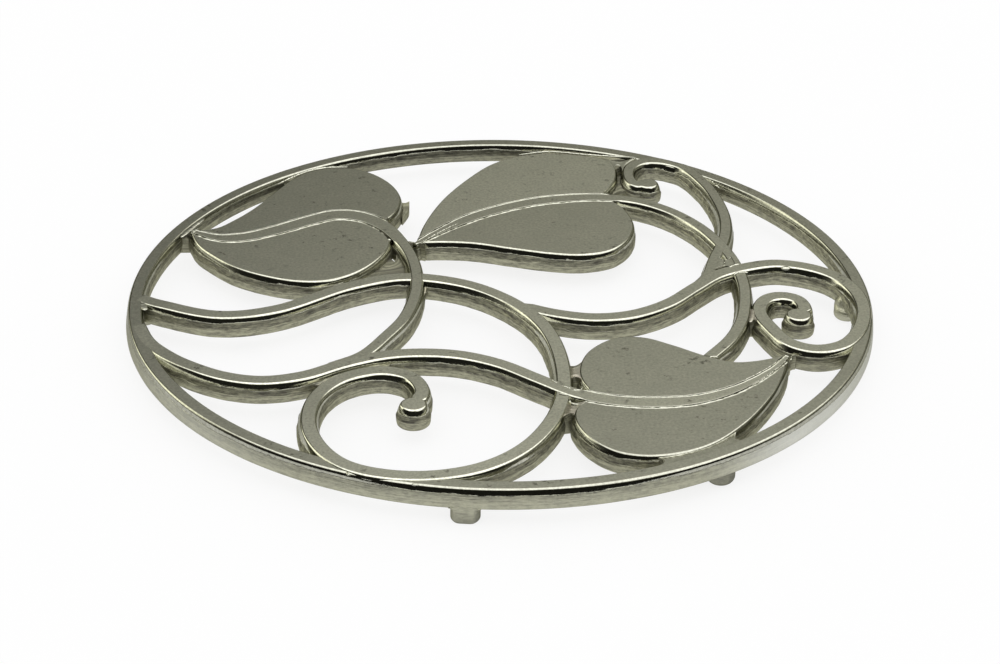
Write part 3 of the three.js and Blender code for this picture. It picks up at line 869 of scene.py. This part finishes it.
def swept_grid(path, half, tops, bottom, walls, seed, radius):
    """Section carried along a path: point (i, j) lies side_j * (half_i + offset_ij) to the left of station i,
    at top_i less depth_ij times the height there. The offsets and depths waver a little along the bar, and what
    laps onto the rim stays inside its outer wall."""
    side, offset, depth = closed_section(*walls)
    left = sideways(path)
    length = running_length(path)
    swell, depths = wall_waver(length, depth, seed)
    offset = hand_finished(offset * swell, left[:, None] * np.sign(side)[None, :, None])
    reach = np.maximum(half[:, None] + offset, half[:, None] * LEAST_HALF)
    xy = path[:, None] + left[:, None] * (side * reach)[..., None]
    limit = radius + (np.interp(depth, RIM_OUTER[:, 1], RIM_OUTER[:, 0]) - LAP_INSET) * MM
    xy = xy * np.minimum(1, limit / np.linalg.norm(xy, axis=2))[..., None]
    z = tops[:, None] - depths * (tops - bottom)[:, None]
    return np.dstack([xy, z]), wall_uv(length, np.abs(depth)), np.abs(depth)


def blade_grid(edge, inner, bottom, seed, groove):
    """Plate between a leaf's edge and the side of its midrib: the loop goes over the top from edge to midrib,
    down the groove's flank, under, and up the outer wall. Columns are straight blends of the two sides."""
    shrink = np.minimum(1, np.linalg.norm(edge - inner, axis=1) / (BLADE_SLIM * MM))[:, None]
    out_edge = facing(edge, edge - inner)[:, None]
    out_inner = facing(inner, inner - edge)[:, None]
    length = running_length(edge)
    depth = np.broadcast_to(VINE_WALL[:, 1], (len(edge), len(VINE_WALL)))
    swell, depths = wall_waver(length, depth, seed)
    offset = hand_finished(VINE_WALL[:, 0] * MM * swell, out_edge) * shrink
    outer = edge[:, None] + out_edge * offset[..., None]
    flank = groove[:GROOVE_RINGS]
    inside = inner[:, None] + out_inner * (flank[:, 0] * MM * shrink)[..., None]
    columns = np.linspace(0, 1, LEAF_COLUMNS)[1:-1]
    blend = np.concatenate([[LEAF_MARGIN], columns, [1 - LEAF_MARGIN]])[None, :, None]
    over = outer[:, :1] * (1 - blend) + inside[:, :1] * blend
    under = inside[:, -1:] * (1 - blend) + outer[:, -1:] * blend
    xy = np.concatenate([over, inside, inside[:, -1:], under, outer[:, ::-1]], 1)
    fall = burred(np.broadcast_to(flank[:, 1], (len(edge), GROOVE_RINGS)) * shrink, length, seed)
    level = np.zeros((len(edge), LEAF_COLUMNS))
    below = np.ones((len(edge), LEAF_COLUMNS + 1))
    shares = np.hstack([level, fall, below, depths[:, ::-1]])
    marks = np.hstack([level, np.abs(fall), below, depth[:, ::-1]])
    z = LEAF_HIGH.z - shares * (LEAF_HIGH.z - bottom)
    return np.dstack([xy, z]), wall_uv(length, marks), marks


def fill_grid(near, far, level, climbs, sag, bottom, mark):
    """Fill between two bars: straight lines from near to far, level in the middle, that climb the two sides as
    the eighth power of the share across and the square of it.

    Columns run from near to far over the top, then back below. The ends sag and draw in by half the gap's width.
    """
    rows = max(len(near), len(far))
    at = np.linspace(0, 1, rows)
    sides = [resample(at, np.linspace(0, 1, len(side)), side) for side in (near, far)]
    across = np.concatenate([FILL_NEAR, np.linspace(FILL_EVEN, 1, FILL_COLUMNS)])
    bow = 4 * across * (1 - across)
    gap = np.linalg.norm(sides[0] - sides[1], axis=1).mean()
    length = running_length((sides[0] + sides[1]) / 2)
    draw = np.minimum(FILL_DRAW, FILL_DRAW_GAP * gap / length[-1])
    share = at[:, None] + (0.5 - at[:, None]) * 2 * draw * bow
    ends = [resample(share, at, side) for side in sides]
    xy = ends[0] * (1 - across)[None, :, None] + ends[1] * across[None, :, None]
    first_climb = (1 - across) ** FILL_CLIMBS[0]
    second_climb = across ** FILL_CLIMBS[1]
    uneven = wavers(length, rows, FILL_WAVES)[:, None] * MM * bow
    z = level + climbs[0] * first_climb + climbs[1] * second_climb
    z = z + uneven - sag * (2 * at[:, None] - 1) ** FILL_ENDS
    over = np.dstack([xy, z])
    under = np.dstack([xy, np.full(z.shape, bottom)])[:, ::-1]
    marks = np.concatenate([mark + CLIMB_MARK * (climbs[0] > 0) * first_climb, np.ones(len(across))])
    # The fill's end faces get at least the deep fills' darker finish, as painted shade
    shaded = np.where(np.isin(at, (0, 1))[:, None], np.maximum(marks, DEEP_MARK), marks)
    return np.concatenate([over, under], 1), wall_uv(length, marks), shaded


def bead_grid(path, half_width, level, height):
    """Low bead along a path: an uneven ellipse across it, drawn in to a point at both ends as the square root of
    1 less the fourth power of the share from its middle. A broad one is satin."""
    length = running_length(path)
    ends = np.sqrt(np.clip(1 - (2 * length / length[-1] - 1) ** 4, BEAD_POINT, 1))
    broad = half_width >= BEAD_SATIN * MM
    uneven = waver(length, len(path), BEAD_WAVE * MM, SATIN_UNEVEN if broad else FINE_UNEVEN)
    draw = (ends * (1 + uneven))[:, None]
    turn = full_turn(BEAD_COLUMNS)[None]
    xy = path[:, None] + sideways(path)[:, None] * (half_width * draw * np.cos(turn))[..., None]
    z = level + height * draw * np.sin(turn)
    marks = np.full(z.shape, 0.0 if broad else BRIGHT_MARK)
    return np.dstack([xy, z]), wall_uv(length, marks), marks


def turned_grid(center, r, z, stations):
    """Half section turned round a centre: point (i, j) lies at r_j from it in direction i, at height z_j."""
    turn = full_turn(stations)
    x = center[0] + np.outer(np.cos(turn), r)
    y = center[1] + np.outer(np.sin(turn), r)
    return turn, np.dstack([x, y, np.broadcast_to(z, x.shape)])


def drop_grid(center, half_length, half_width, middle, height):
    """Flattened ball: a half circle turned into a ball, times its three half lengths."""
    fall = np.linspace(0, np.pi, DROP_RINGS)
    turn, ball = turned_grid((0, 0), np.sin(fall), np.cos(fall), DROP_STATIONS)
    grid = ball * (half_length, half_width, height) + (*center, middle)
    marks = np.full(grid.shape[:2], BRIGHT_MARK)
    return grid, wall_uv(turn * half_length, marks), marks


def bulb_grid(center, radius, top, bottom):
    """Disc with the bars' wall: its half section runs from the top's middle out, down the wall and back."""
    flat = np.append(np.linspace(0, 1, BULB_COLUMNS - 1, endpoint=False), FLAT[-1])
    wall = radius + VINE_WALL[:, 0] * MM
    r = np.concatenate([flat * wall[0], wall, flat[::-1] * wall[-1]])
    depth = np.concatenate([np.zeros(BULB_COLUMNS), VINE_WALL[:, 1], np.ones(BULB_COLUMNS)])
    turn, grid = turned_grid(center, r, top - depth * (top - bottom), BULB_STATIONS)
    return grid, wall_uv(turn * radius, depth), depth


def foot_grid(sizes, angle, inset, soft, flare, root, reach):
    """Stub foot: its half section runs from the middle of the sole out, round a quarter circle, up to the flare
    and in to the root. It is cut back to the reach over the rim's radius.

    Also gives the share of the foot's right side, which gets painted shade, at each point below the rim, and each
    ring's height.
    """
    radius = sizes.foot_diameter / 2
    corner = np.linspace(0, np.pi / 2, FOOT_RINGS)
    r = np.concatenate([
        np.linspace(0, 1, SOLE_RINGS, endpoint=False) * (radius - soft),
        radius - soft + soft * np.sin(corner),
        radius + flare * (1 - np.cos(corner[:-1])),
        (radius + flare) * np.cos(corner),
    ])
    z = np.concatenate([
        np.zeros(SOLE_RINGS),
        soft * (1 - np.cos(corner)),
        RIM_LOW.z - flare + flare * np.sin(corner[:-1]),
        RIM_LOW.z + root * np.sin(corner),
    ])
    at = np.radians(angle)
    center = (sizes.rim_radius - inset) * np.array([np.cos(at), np.sin(at)])
    turn, grid = turned_grid(center, r, z, FOOT_STATIONS)
    limit = sizes.rim_radius + reach - FOOT_LEAN * np.maximum(0, z - RIM_LOW.z)
    grid[..., :2] *= np.minimum(1, limit / np.linalg.norm(grid[..., :2], axis=2))[..., None]
    shade_side = smooth_step((np.cos(turn) - FOOT_RIGHT) / FOOT_RIGHT_EASE)[:, None] * (z < RIM_LOW.z)
    return grid, wall_uv(turn * radius, z / (RIM_HIGH.z - RIM_LOW.z)), shade_side, z


def grid_faces(rows, columns, wrap_rows, wrap_columns):
    """Four-sided faces of a grid of rows by columns, joined round where it wraps."""
    i = np.arange(rows if wrap_rows else rows - 1)[:, None]
    j = np.arange(columns if wrap_columns else columns - 1)[None]
    i2 = (i + 1) % rows
    j2 = (j + 1) % columns
    faces = np.stack([i * columns + j, i2 * columns + j, i2 * columns + j2, i * columns + j2], -1)
    return faces.reshape(-1, 4)


def signed_volume(points, quads):
    """Volume inside the faces, counted negative where they face inwards."""
    a, b, c, d = (points[quads[:, k]] for k in range(4))
    return (np.cross(a, b) * c).sum() + (np.cross(a, c) * d).sum()


class Shell:
    """Grids and end caps gathered into one mesh."""

    def __init__(self, tone=1.0):
        self.tone = tone
        self.points = []
        self.uv = []
        self.marks = {label: [] for label in MARKS}
        self.quads = []
        self.caps = []
        self.count = 0

    def add(self, grid, uv, depth, wrap_rows=False, wrap_columns=True, cast=1.0, painted_light=1.0):
        """Adds a grid with its finish, its faces pointing outwards and its open ends capped."""
        rows, columns = grid.shape[:2]
        flat = grid.reshape(-1, 3)
        quads = grid_faces(rows, columns, wrap_rows, wrap_columns)
        ends = []
        if not wrap_rows:
            ends = [np.arange(columns), np.arange(rows * columns - 1, (rows - 1) * columns - 1, -1)]
        if signed_volume(flat, quads) < 0:
            quads = quads[:, ::-1]
            ends = [end[::-1] for end in ends]
        self.quads.append(quads + self.count)
        self.caps += [end[::-1] + self.count for end in ends]
        self.points.append(flat)
        self.uv.append(uv.reshape(-1, 2))
        for label, values in zip(MARKS, (depth, cast, painted_light, self.tone)):
            self.marks[label].append(np.broadcast_to(values, (rows, columns)).reshape(-1))
        self.count += len(flat)

    def build(self, name, material, *nodes):
        """Makes the object, rides it on the frame and hides the imported parts of its nodes."""
        points = np.concatenate(self.points)
        quads = np.concatenate(self.quads)
        sizes = np.concatenate([np.full(len(quads), 4), [len(cap) for cap in self.caps]]).astype(np.int32)
        starts = np.concatenate([[0], np.cumsum(sizes)[:-1]])
        corners = np.concatenate([quads.ravel(), *self.caps])
        mesh = bpy.data.meshes.new(name)
        mesh.vertices.add(len(points))
        mesh.vertices.foreach_set("co", points.astype(np.float32).ravel())
        mesh.loops.add(len(corners))
        mesh.loops.foreach_set("vertex_index", corners.astype(np.int32))
        mesh.polygons.add(len(sizes))
        mesh.polygons.foreach_set("loop_start", starts.astype(np.int32))
        mesh.polygons.foreach_set("use_smooth", sizes == 4)
        mesh.update(calc_edges=True)
        uv = np.concatenate(self.uv)[corners]
        mesh.uv_layers.new(name="wall").data.foreach_set("uv", uv.astype(np.float32).ravel())
        for label, values in self.marks.items():
            marks = mesh.attributes.new(label, "FLOAT", "POINT")
            marks.data.foreach_set("value", np.concatenate(values).astype(np.float32))
        mesh.validate()
        piece = bpy.data.objects.new(name, mesh)
        bpy.context.collection.objects.link(piece)
        mesh.materials.append(material)
        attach(piece, BODY)
        if nodes:
            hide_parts(*nodes)
        return piece


def blade_sides(name, side, sizes, seed):
    """Edge of a leaf's blade and the line along its midrib, both from tip to base, cut where they meet, and the
    midrib's station at each point."""
    leaf = LEAVES[name]
    stem = bar_path(f"{name}_stem", sizes)
    length = running_length(stem)
    half = bar_half_width(f"{name}_stem", sizes, length / length[-1]) + GROOVE_GAP * MM
    drawn = pattern_points([leaf["tip"], *leaf[side], leaf["base"]], sizes)
    edge = eased(smooth_path(drawn, EDGE_SPACING * MM), EDGE_EASE)
    distance = np.linalg.norm(edge[:, None] - stem[None], axis=2)
    nearest = distance.argmin(1)
    outside = np.flatnonzero(distance.min(1) > half[nearest])
    edge = edge[outside[0]:outside[-1] + 1]
    at = np.linspace(nearest[outside[0]], nearest[outside[-1]], len(edge))
    stations = np.arange(len(stem))
    rib = resample(at, stations, stem)
    reach = np.interp(at, stations, half) + wavers(running_length(rib), seed, GROOVE_WAVES) * MM
    return edge, rib + facing(rib, edge - rib) * reach[:, None], at


def bar_walls(name, sizes, length, seed):
    """Walls on the left and right of a bar, as (stations, points, offset and depth). A plain bar has the same
    wall on both sides. Along its blades, a midrib has the burr on its upper edge and a straight lower edge."""
    plain_wall = np.broadcast_to(VINE_WALL, (len(length), *VINE_WALL.shape))
    leaf = name.removesuffix("_stem")
    if leaf not in LEAVES:
        return plain_wall, plain_wall
    stations = np.arange(len(length))
    pair = []
    for side, groove in RIB_GROOVES.items():
        at = blade_sides(leaf, side, sizes, 0)[2]
        inside = np.minimum(stations - at.min(), at.max() - stations)
        share = smooth_step(inside / GROOVE_EASE + 1)[:, None, None]
        walls = plain_wall + (groove - VINE_WALL) * share
        walls[:, :, 1] = burred(walls[:, :, 1], length, seed)
        pair.append(walls)
    return pair if LEAVES[leaf]["upper_left"] else pair[::-1]


def plated_metal(finish, name="plated_metal", metal=None):
    """Satin tops with fine grain and specks, polished rounded edges, and rough cast walls below them."""
    found = bpy.data.materials.get(name)
    if found:
        return found
    material, board = new_material(name)
    tarnish_and_shade = rgba(finish.tarnish_and_shade)
    place = board.node("ShaderNodeTexCoord", output=3)
    wall_place = board.node("ShaderNodeUVMap", {"uv_map": "wall"})
    depth, cast_share, painted_light, tone = (
        board.node("ShaderNodeAttribute", {"attribute_name": label}, output=2) for label in MARKS)
    clouds, grain, patches, specks, blotches, pits = (board.noise(place, *row) for row in NOISES.values())
    mottle, lines = (board.stretched_noise(wall_place, *row) for row in WALL_NOISES.values())

    # Where the flat top, the cast wall, its lower part and the parting line's seam lie
    plain_share = 1 - cast_share
    top = 1 - depth.clamp(0.0, TOP_DEPTH)
    swings = zip((lines, clouds, mottle), CAST_SWINGS)
    uneven_depth = sum((noise.swing(width) for noise, width in swings), depth)
    cast = uneven_depth.clamp(*CAST_DEPTHS) * cast_share
    lower = (depth + blotches.swing(LOWER_SWING)).clamp(*LOWER_DEPTHS)
    lower = (lower + plain_share * PLAIN_LOWER).clamp(0.0, 1.0)
    from_seam = board.math("ABSOLUTE", depth - SEAM_DEPTH)
    seam = (1 - from_seam.clamp(0.0, SEAM_REACH)) * blotches.clamp(*SEAM_BAND)

    # Colour of the tops: dulled patches, hand polish, grain and specks
    dulled = board.mix_color(clouds.clamp(*CLOUD_BAND), rgba(metal or finish.metal), rgba(finish.shade))
    toned = board.scale_color(dulled, tone)
    grained = board.mix_color(grain.clamp(*CLOUD_BAND) * GRAIN_SHARE, toned, tarnish_and_shade)
    speck_share = specks.clamp(*SPECK_BAND) * patches.clamp(*PATCH_BAND) * top * SPECK_SHARE
    specked = board.mix_color(speck_share, grained, tarnish_and_shade)

    # Colour of the walls: streaks along the bar, the seam, and painted shade and painted sheen from the
    # brightness mark
    streak = (lines.clamp(*LINE_BAND) + mottle.clamp(*MOTTLE_BAND)) * 0.5
    upper_clean = streak * UPPER_CLEAN[0] + UPPER_CLEAN[1]
    lower_clean = streak * LOWER_CLEAN[0] + LOWER_CLEAN[1] + plain_share * PLAIN_CLEAN
    walled = board.mix_color(upper_clean + (lower_clean - upper_clean) * lower, tarnish_and_shade, rgba(finish.cast))
    lined = board.mix_color(seam * cast_share * SEAM_SHARE, walled, tarnish_and_shade)
    # Painted shade darkens the wall colour where the brightness mark is below 1; painted sheen blends in above 1
    with_shade = board.scale_color(lined, painted_light.clamp(0.0, 1.0))
    with_sheen = board.mix_color(painted_light.clamp(1.0, 2.0), with_shade, rgba(finish.painted_sheen))

    top_rough = finish.top_roughness + clouds.swing(TOP_SWING) + grain.swing(TOP_SWING)
    edge_rough = finish.edge_roughness + blotches.swing(EDGE_SWING)
    rough = edge_rough + (top_rough - edge_rough) * top
    rough = rough + (finish.wall_roughness + mottle.swing(WALL_SWING) - rough) * cast
    beside_top = (blotches * BLOTCH_BUMP + pits * PIT_BUMP) * (1 - top)
    height = grain * top * GRAIN_BUMP + (mottle + lines) * STREAK_BUMP * cast + beside_top
    bump = board.node(
        "ShaderNodeBump", None, {"Strength": BUMP_STRENGTH, "Distance": BUMP_DISTANCE, "Height": height})
    shader = board.node("ShaderNodeBsdfPrincipled", None, {
        "Base Color": board.mix_color(cast, specked, with_sheen),
        "Roughness": rough,
        "Metallic": 1.0,
        "Specular Tint": rgba(finish.grazing),
        "Normal": bump,
    })
    board.node("ShaderNodeOutputMaterial", None, {"Surface": shader})
    return material


def settings(context):
    """The trivet's sizes and its metal."""
    scene = context.scene
    return scene.trivet_sizes, plated_metal(scene.trivet_finish)


class TRIVET_OT_rim(bpy.types.Operator):
    """Make the rim: a flat bar with a rounded section turned into a ring"""

    bl_idname = "trivet.rim"
    bl_label = "Rim"

    def execute(self, context):
        sizes, material = settings(context)
        turn = full_turn(RIM_STATIONS)
        around = np.stack([np.cos(turn), np.sin(turn)], 1)[:, None]
        outer = RIM_OUTER + (RIM_FRONT - RIM_OUTER) * stretch(turn, *RIM_WORN)[:, None, None]
        side, offset, depth = closed_section(outer, np.broadcast_to(RIM_INNER, outer.shape))
        swell = 1 + round_waver(turn, RIM_SEED, RIM_SWELL)[:, None] * (depth > SWELL_DEPTH)
        offset = hand_finished(offset * swell, np.sign(side)[None, :, None] * around)
        half = sizes.rim_width / 2
        r = sizes.rim_radius - half + side * (half + offset)
        z = RIM_HIGH.z - depth * (RIM_HIGH.z - RIM_LOW.z)
        # Painted shade: the far stretch of the inner wall is darkened, more above than below
        shaded = np.interp(depth, SHADE_DEPTHS, SHADE_SHARES) * stretch(turn, *RIM_SHADED)[:, None]
        # Painted sheen: the outer wall is blended towards a near-white colour on its bright stretches
        painted_sheen = sum(share * stretch(turn, *part) for part, share in RIM_SHEEN)[:, None]
        shell = Shell(TONES["rim"])
        grid = np.dstack([r[..., None] * around, z])
        cast = np.where(side > 0, OUTER_RIM_CAST, 1.0)
        painted_light = np.where(side > 0, 1 + painted_sheen, 1 - shaded)
        uv = wall_uv(turn * sizes.rim_radius, depth)
        shell.add(grid, uv, depth, wrap_rows=True, cast=cast, painted_light=painted_light)
        shell.build("rim_ring", material, "rim")
        return {"FINISHED"}


class TRIVET_OT_vines(bpy.types.Operator):
    """Make the vines and stems: a rounded section carried along a drawn line, with a bulb at a scroll's end"""

    bl_idname = "trivet.vines"
    bl_label = "Vines and stems"

    def execute(self, context):
        sizes, material = settings(context)
        lift = LAYER_STEP * MM
        for order, (name, bar) in enumerate(BARS.items()):
            path = bar_path(name, sizes)
            length = running_length(path)
            share = length / length[-1]
            tops = bar_tops(name, sizes, path, share)
            under = RIM_LOW.z + (order + 2) * lift
            walls = bar_walls(name, sizes, length, order)
            half = bar_half_width(name, sizes, share)
            shell = Shell(TONES.get(name, 1.0))
            if "bulb" in bar:
                half = half * (1 - BULB_NECK * smooth_step(1 - (length[-1] - length) / (BULB_EASE * MM)))
            shell.add(*swept_grid(path, half, tops, under, walls, order, sizes.rim_radius))
            if "bulb" in bar:
                center, size = bar["bulb"]
                bulb = bulb_grid(
                    pattern_points(center, sizes), getattr(sizes, size) / 2, tops[-1] + lift, under - lift)
                shell.add(*bulb, wrap_rows=True, wrap_columns=False)
            shell.build(name + "_bar", material, name)
        return {"FINISHED"}


class TRIVET_OT_leaves(bpy.types.Operator):
    """Make the leaf blades: a plate on each side of a midrib, with a fine groove between"""

    bl_idname = "trivet.leaves"
    bl_label = "Leaf blades"

    def execute(self, context):
        sizes, material = settings(context)
        for order, name in enumerate(LEAVES):
            for turn, (side, groove) in enumerate(BLADE_GROOVES.items()):
                seed = LEAF_SEED + 2 * order + turn
                edge, inner, _ = blade_sides(name, side, sizes, seed)
                shell = Shell(TONES.get(f"{name}_{side}", 1.0))
                shell.add(*blade_grid(edge, inner, RIM_LOW.z + turn * LAYER_STEP * MM, seed, groove))
                shell.build(f"{name}_{side}_leaf", material, f"{name}_{side}_blade")
        return {"FINISHED"}


class TRIVET_OT_fills(bpy.types.Operator):
    """Make the solder fills: low sagging webs where leaves and scrolls touch the bars beside them, and beads"""

    bl_idname = "trivet.fills"
    bl_label = "Solder fills"

    def execute(self, context):
        sizes, metal = settings(context)
        finish = context.scene.trivet_finish
        materials = {"warm_fills": plated_metal(finish, "solder", finish.solder)}
        for name, fills, beads, mark in FILL_GROUPS:
            shell = Shell()
            self.add_fills(shell, fills, mark, sizes)
            self.add_beads(shell, beads, sizes)
            shell.build(name, materials.get(name, metal))
        shell = Shell()
        for place, half_length, half_width, over in DROPS:
            drop = drop_grid(
                pattern_points(place, sizes), half_length * MM, half_width * MM, LEAF_HIGH.z + over * MM,
                DROP_HEIGHT * MM)
            shell.add(*drop, wrap_rows=True, wrap_columns=False)
        self.add_beads(shell, BEADS, sizes)
        shell.build("solder_drops", metal)
        return {"FINISHED"}

    @staticmethod
    def add_fills(shell, fills, mark, sizes):
        """Adds each fill below the leaf tops. The deep ones have the darker finish of the mark, as painted shade.
        """
        bottom = RIM_LOW.z + FILL_LIFT * MM
        for near, far, drop, *climbs in fills:
            sides = [smooth_path(pattern_points(side, sizes), EDGE_SPACING * MM) for side in (near, far)]
            climbs = [climb * MM for climb in climbs]
            sag = min(drop, FILL_SAG) * MM
            shaded = mark * (drop > DEEP_DROP)
            shell.add(*fill_grid(*sides, LEAF_HIGH.z - drop * MM, climbs, sag, bottom, shaded))

    @staticmethod
    def add_beads(shell, beads, sizes):
        """Adds each bead with its middle below the leaf tops."""
        for line, half_width, below in beads:
            path = smooth_path(pattern_points(line, sizes), BEAD_SPACING * MM)
            shell.add(*bead_grid(path, half_width * MM, LEAF_HIGH.z - below * MM, BEAD_HEIGHT * MM))


class TRIVET_OT_feet(bpy.types.Operator):
    """Make the stub feet: round stubs with a rounded sole and a flared root under the rim"""

    bl_idname = "trivet.feet"
    bl_label = "Feet"

    def execute(self, context):
        sizes, material = settings(context)
        for number, (angle, *lengths, sole_painted_light, root_painted_light) in enumerate(FEET, 1):
            inset, soft, flare, root, reach = (length * MM for length in lengths)
            grid, uv, shade_side, z = foot_grid(sizes, angle, inset, soft, flare, root, reach)
            root_mark = FOOT_MARK if flare else DEEP_MARK
            depth = np.where(z > RIM_LOW.z, root_mark, FOOT_MARK + (1 - FOOT_MARK) * (1 - z / RIM_LOW.z))
            # Painted shade on the foot's right side: the darker deep finish and less brightness
            depth = depth + (DEEP_MARK - depth) * shade_side
            painted_light = np.interp(z, (0, RIM_LOW.z), (sole_painted_light, root_painted_light)) * (1 - FOOT_SHADE * shade_side)
            shell = Shell()
            shell.add(grid, uv, depth, wrap_rows=True, wrap_columns=False, cast=OUTER_RIM_CAST, painted_light=painted_light)
            shell.build(f"foot_{number}_stub", material, f"foot_{number}")
        return {"FINISHED"}


class TRIVET_OT_stage(bpy.types.Operator):
    """Make the photo table: floor, light tent, even light and the camera"""

    bl_idname = "trivet.stage"
    bl_label = "Photo table"

    def execute(self, context):
        stage = context.scene.trivet_stage
        self.floor(stage)
        self.tent(stage)
        self.sky(context.scene, stage)
        self.camera(context.scene)
        context.scene.view_settings.view_transform = "Standard"
        return {"FINISHED"}

    @staticmethod
    def add_mesh(name, points, faces, material):
        """Makes an object from points and faces."""
        mesh = bpy.data.meshes.new(name)
        mesh.from_pydata(points.reshape(-1, 3).tolist(), [], faces)
        mesh.materials.append(material)
        made = bpy.data.objects.new(name, mesh)
        bpy.context.collection.objects.link(made)
        return made

    def floor(self, stage):
        """Pale disc, with light of its own for the rays that see it, so that it is even all over."""
        material, board = new_material("pale_floor")
        camera, glossy, through = (board.node("ShaderNodeLightPath", output=ray) for ray in SEEN_RAYS)
        seen = board.math("MAXIMUM", camera, board.math("MAXIMUM", glossy, through))
        diffuse = board.node("ShaderNodeBsdfDiffuse", None, {"Color": rgba(stage.floor)})
        glow = board.node("ShaderNodeEmission", None, {"Color": WHITE, "Strength": 1.0})
        mixed = board.node("ShaderNodeMixShader", None, [seen * FLOOR_GLOW, diffuse, glow])
        board.node("ShaderNodeOutputMaterial", None, {"Surface": mixed})
        _, ring = turned_grid((0, 0), [FLOOR_RADIUS], [0], FLOOR_CORNERS)
        floor = self.add_mesh("floor", ring, [list(range(FLOOR_CORNERS))], material)

    def tent(self, stage):
        """Light tent that only the metal's reflections see: a dome with a dark front, a grey back that is darker
        on its left, a low band below it, a window on the far left, and a bright roof that reaches lower on the
        right."""
        material, board = new_material("tent_cloth")
        place = board.node("ShaderNodeTexCoord", output=3)
        normal = board.node("ShaderNodeVectorMath", {"operation": "NORMALIZE"}, [place])
        across, ahead, height = (
            board.node("ShaderNodeSeparateXYZ", None, [normal], output=axis) for axis in range(3))
        steps = sum((share * across.clamp(*band) for band, share in BACK_STEPS), BACK_LEAST)
        wall = stage.tent_grey * steps
        back = stage.tent_side + (wall - stage.tent_side) * height.clamp(*SKIRT_UP)
        window = across.clamp(*WINDOW_ACROSS) * ahead.clamp(*WINDOW_AHEAD) * height.clamp(*WINDOW_UP)
        strength = back + (stage.tent_dark - back) * ahead.clamp(*FRONT_AHEAD) + stage.tent_window * window
        roof = (height + across.clamp(*ROOF_ACROSS) * ROOF_LOWER).clamp(*ROOF_UP)
        strength = strength + (stage.tent_top - strength) * roof
        cloth = board.mix_color(roof, rgba(stage.tent_color), WHITE)
        glow = board.node("ShaderNodeEmission", None, {"Color": cloth, "Strength": strength})
        board.node("ShaderNodeOutputMaterial", None, {"Surface": glow})
        up = np.linspace(TENT_FOOT, np.pi / 2, TENT_RINGS)
        _, dome = turned_grid((0, 0), TENT_RADIUS * np.cos(up), TENT_RADIUS * np.sin(up), TENT_STATIONS)
        faces = grid_faces(TENT_STATIONS, TENT_RINGS, True, False).tolist()
        tent = self.add_mesh("light_tent", dome, faces, material)
        tent.data.polygons.foreach_set("use_smooth", np.ones(len(faces), bool))
        tent.visible_camera = False
        tent.visible_diffuse = False
        tent.visible_shadow = False
        tent.visible_transmission = False

    def sky(self, scene, stage):
        """Even white light from all sides."""
        world = bpy.data.worlds.new("even_light")
        scene.world = world
        world.use_nodes = True
        board = Board(world.node_tree)
        light = board.node("ShaderNodeBackground", None, {"Color": WHITE, "Strength": stage.sky})
        board.node("ShaderNodeOutputWorld", None, {"Surface": light})

    def camera(self, scene):
        """Camera at the fitted view: its place solves across, up and back along its own three axes."""
        tilt, roll = np.radians([VIEW_TILT, VIEW_ROLL])
        right = np.array([1.0, 0.0, 0.0])
        ahead = np.array([0.0, np.cos(tilt), -np.sin(tilt)])
        up = np.array([0.0, np.sin(tilt), np.cos(tilt)])
        across = np.cos(roll) * right + np.sin(roll) * up
        upward = np.cos(roll) * up - np.sin(roll) * right
        place = VIEW_ACROSS * across + VIEW_UP * upward - VIEW_BACK * ahead
        place = place * scene.trivet_sizes.rim_radius + np.array([0, 0, RIM_HIGH.z])
        data = bpy.data.cameras.new("photo_camera")
        data.sensor_width = SENSOR_WIDTH
        data.lens = VIEW_FOCAL / PHOTO_WIDTH * SENSOR_WIDTH
        data.clip_start = CLIP_START
        camera = bpy.data.objects.new("photo_camera", data)
        turn = Matrix([across, upward, -ahead]).transposed().to_4x4()
        camera.matrix_world = Matrix.Translation(Vector(place)) @ turn
        bpy.context.collection.objects.link(camera)
        scene.camera = camera


class TRIVET_PT_panel(bpy.types.Panel):
    """Sizes, finish and steps of the trivet"""

    bl_idname = "TRIVET_PT_panel"
    bl_label = "Vine trivet"
    bl_space_type = "VIEW_3D"
    bl_region_type = "UI"
    bl_category = "Trivet"

    def draw(self, context):
        layout = self.layout
        for label, kind in GROUPS.items():
            box = layout.box()
            for name in kind.__annotations__:
                box.prop(getattr(context.scene, label), name)
        for step in STEPS:
            layout.operator(step.bl_idname)


GROUPS = {"trivet_sizes": TrivetSizes, "trivet_finish": TrivetFinish, "trivet_stage": TrivetStage}
STEPS = (
    TRIVET_OT_rim, TRIVET_OT_vines, TRIVET_OT_leaves, TRIVET_OT_fills, TRIVET_OT_feet, TRIVET_OT_stage)
CLASSES = (*GROUPS.values(), *STEPS, TRIVET_PT_panel)


def register():
    for item in CLASSES:
        bpy.utils.register_class(item)
    for label, kind in GROUPS.items():
        setattr(bpy.types.Scene, label, PointerProperty(type=kind))


def unregister():
    for label in GROUPS:
        delattr(bpy.types.Scene, label)
    for item in reversed(CLASSES):
        bpy.utils.unregister_class(item)


def main():
    register()
    bpy.ops.trivet.rim()
    bpy.ops.trivet.vines()
    bpy.ops.trivet.leaves()
    bpy.ops.trivet.fills()
    bpy.ops.trivet.feet()
    bpy.ops.trivet.stage()


if __name__ == "__main__":
    main()
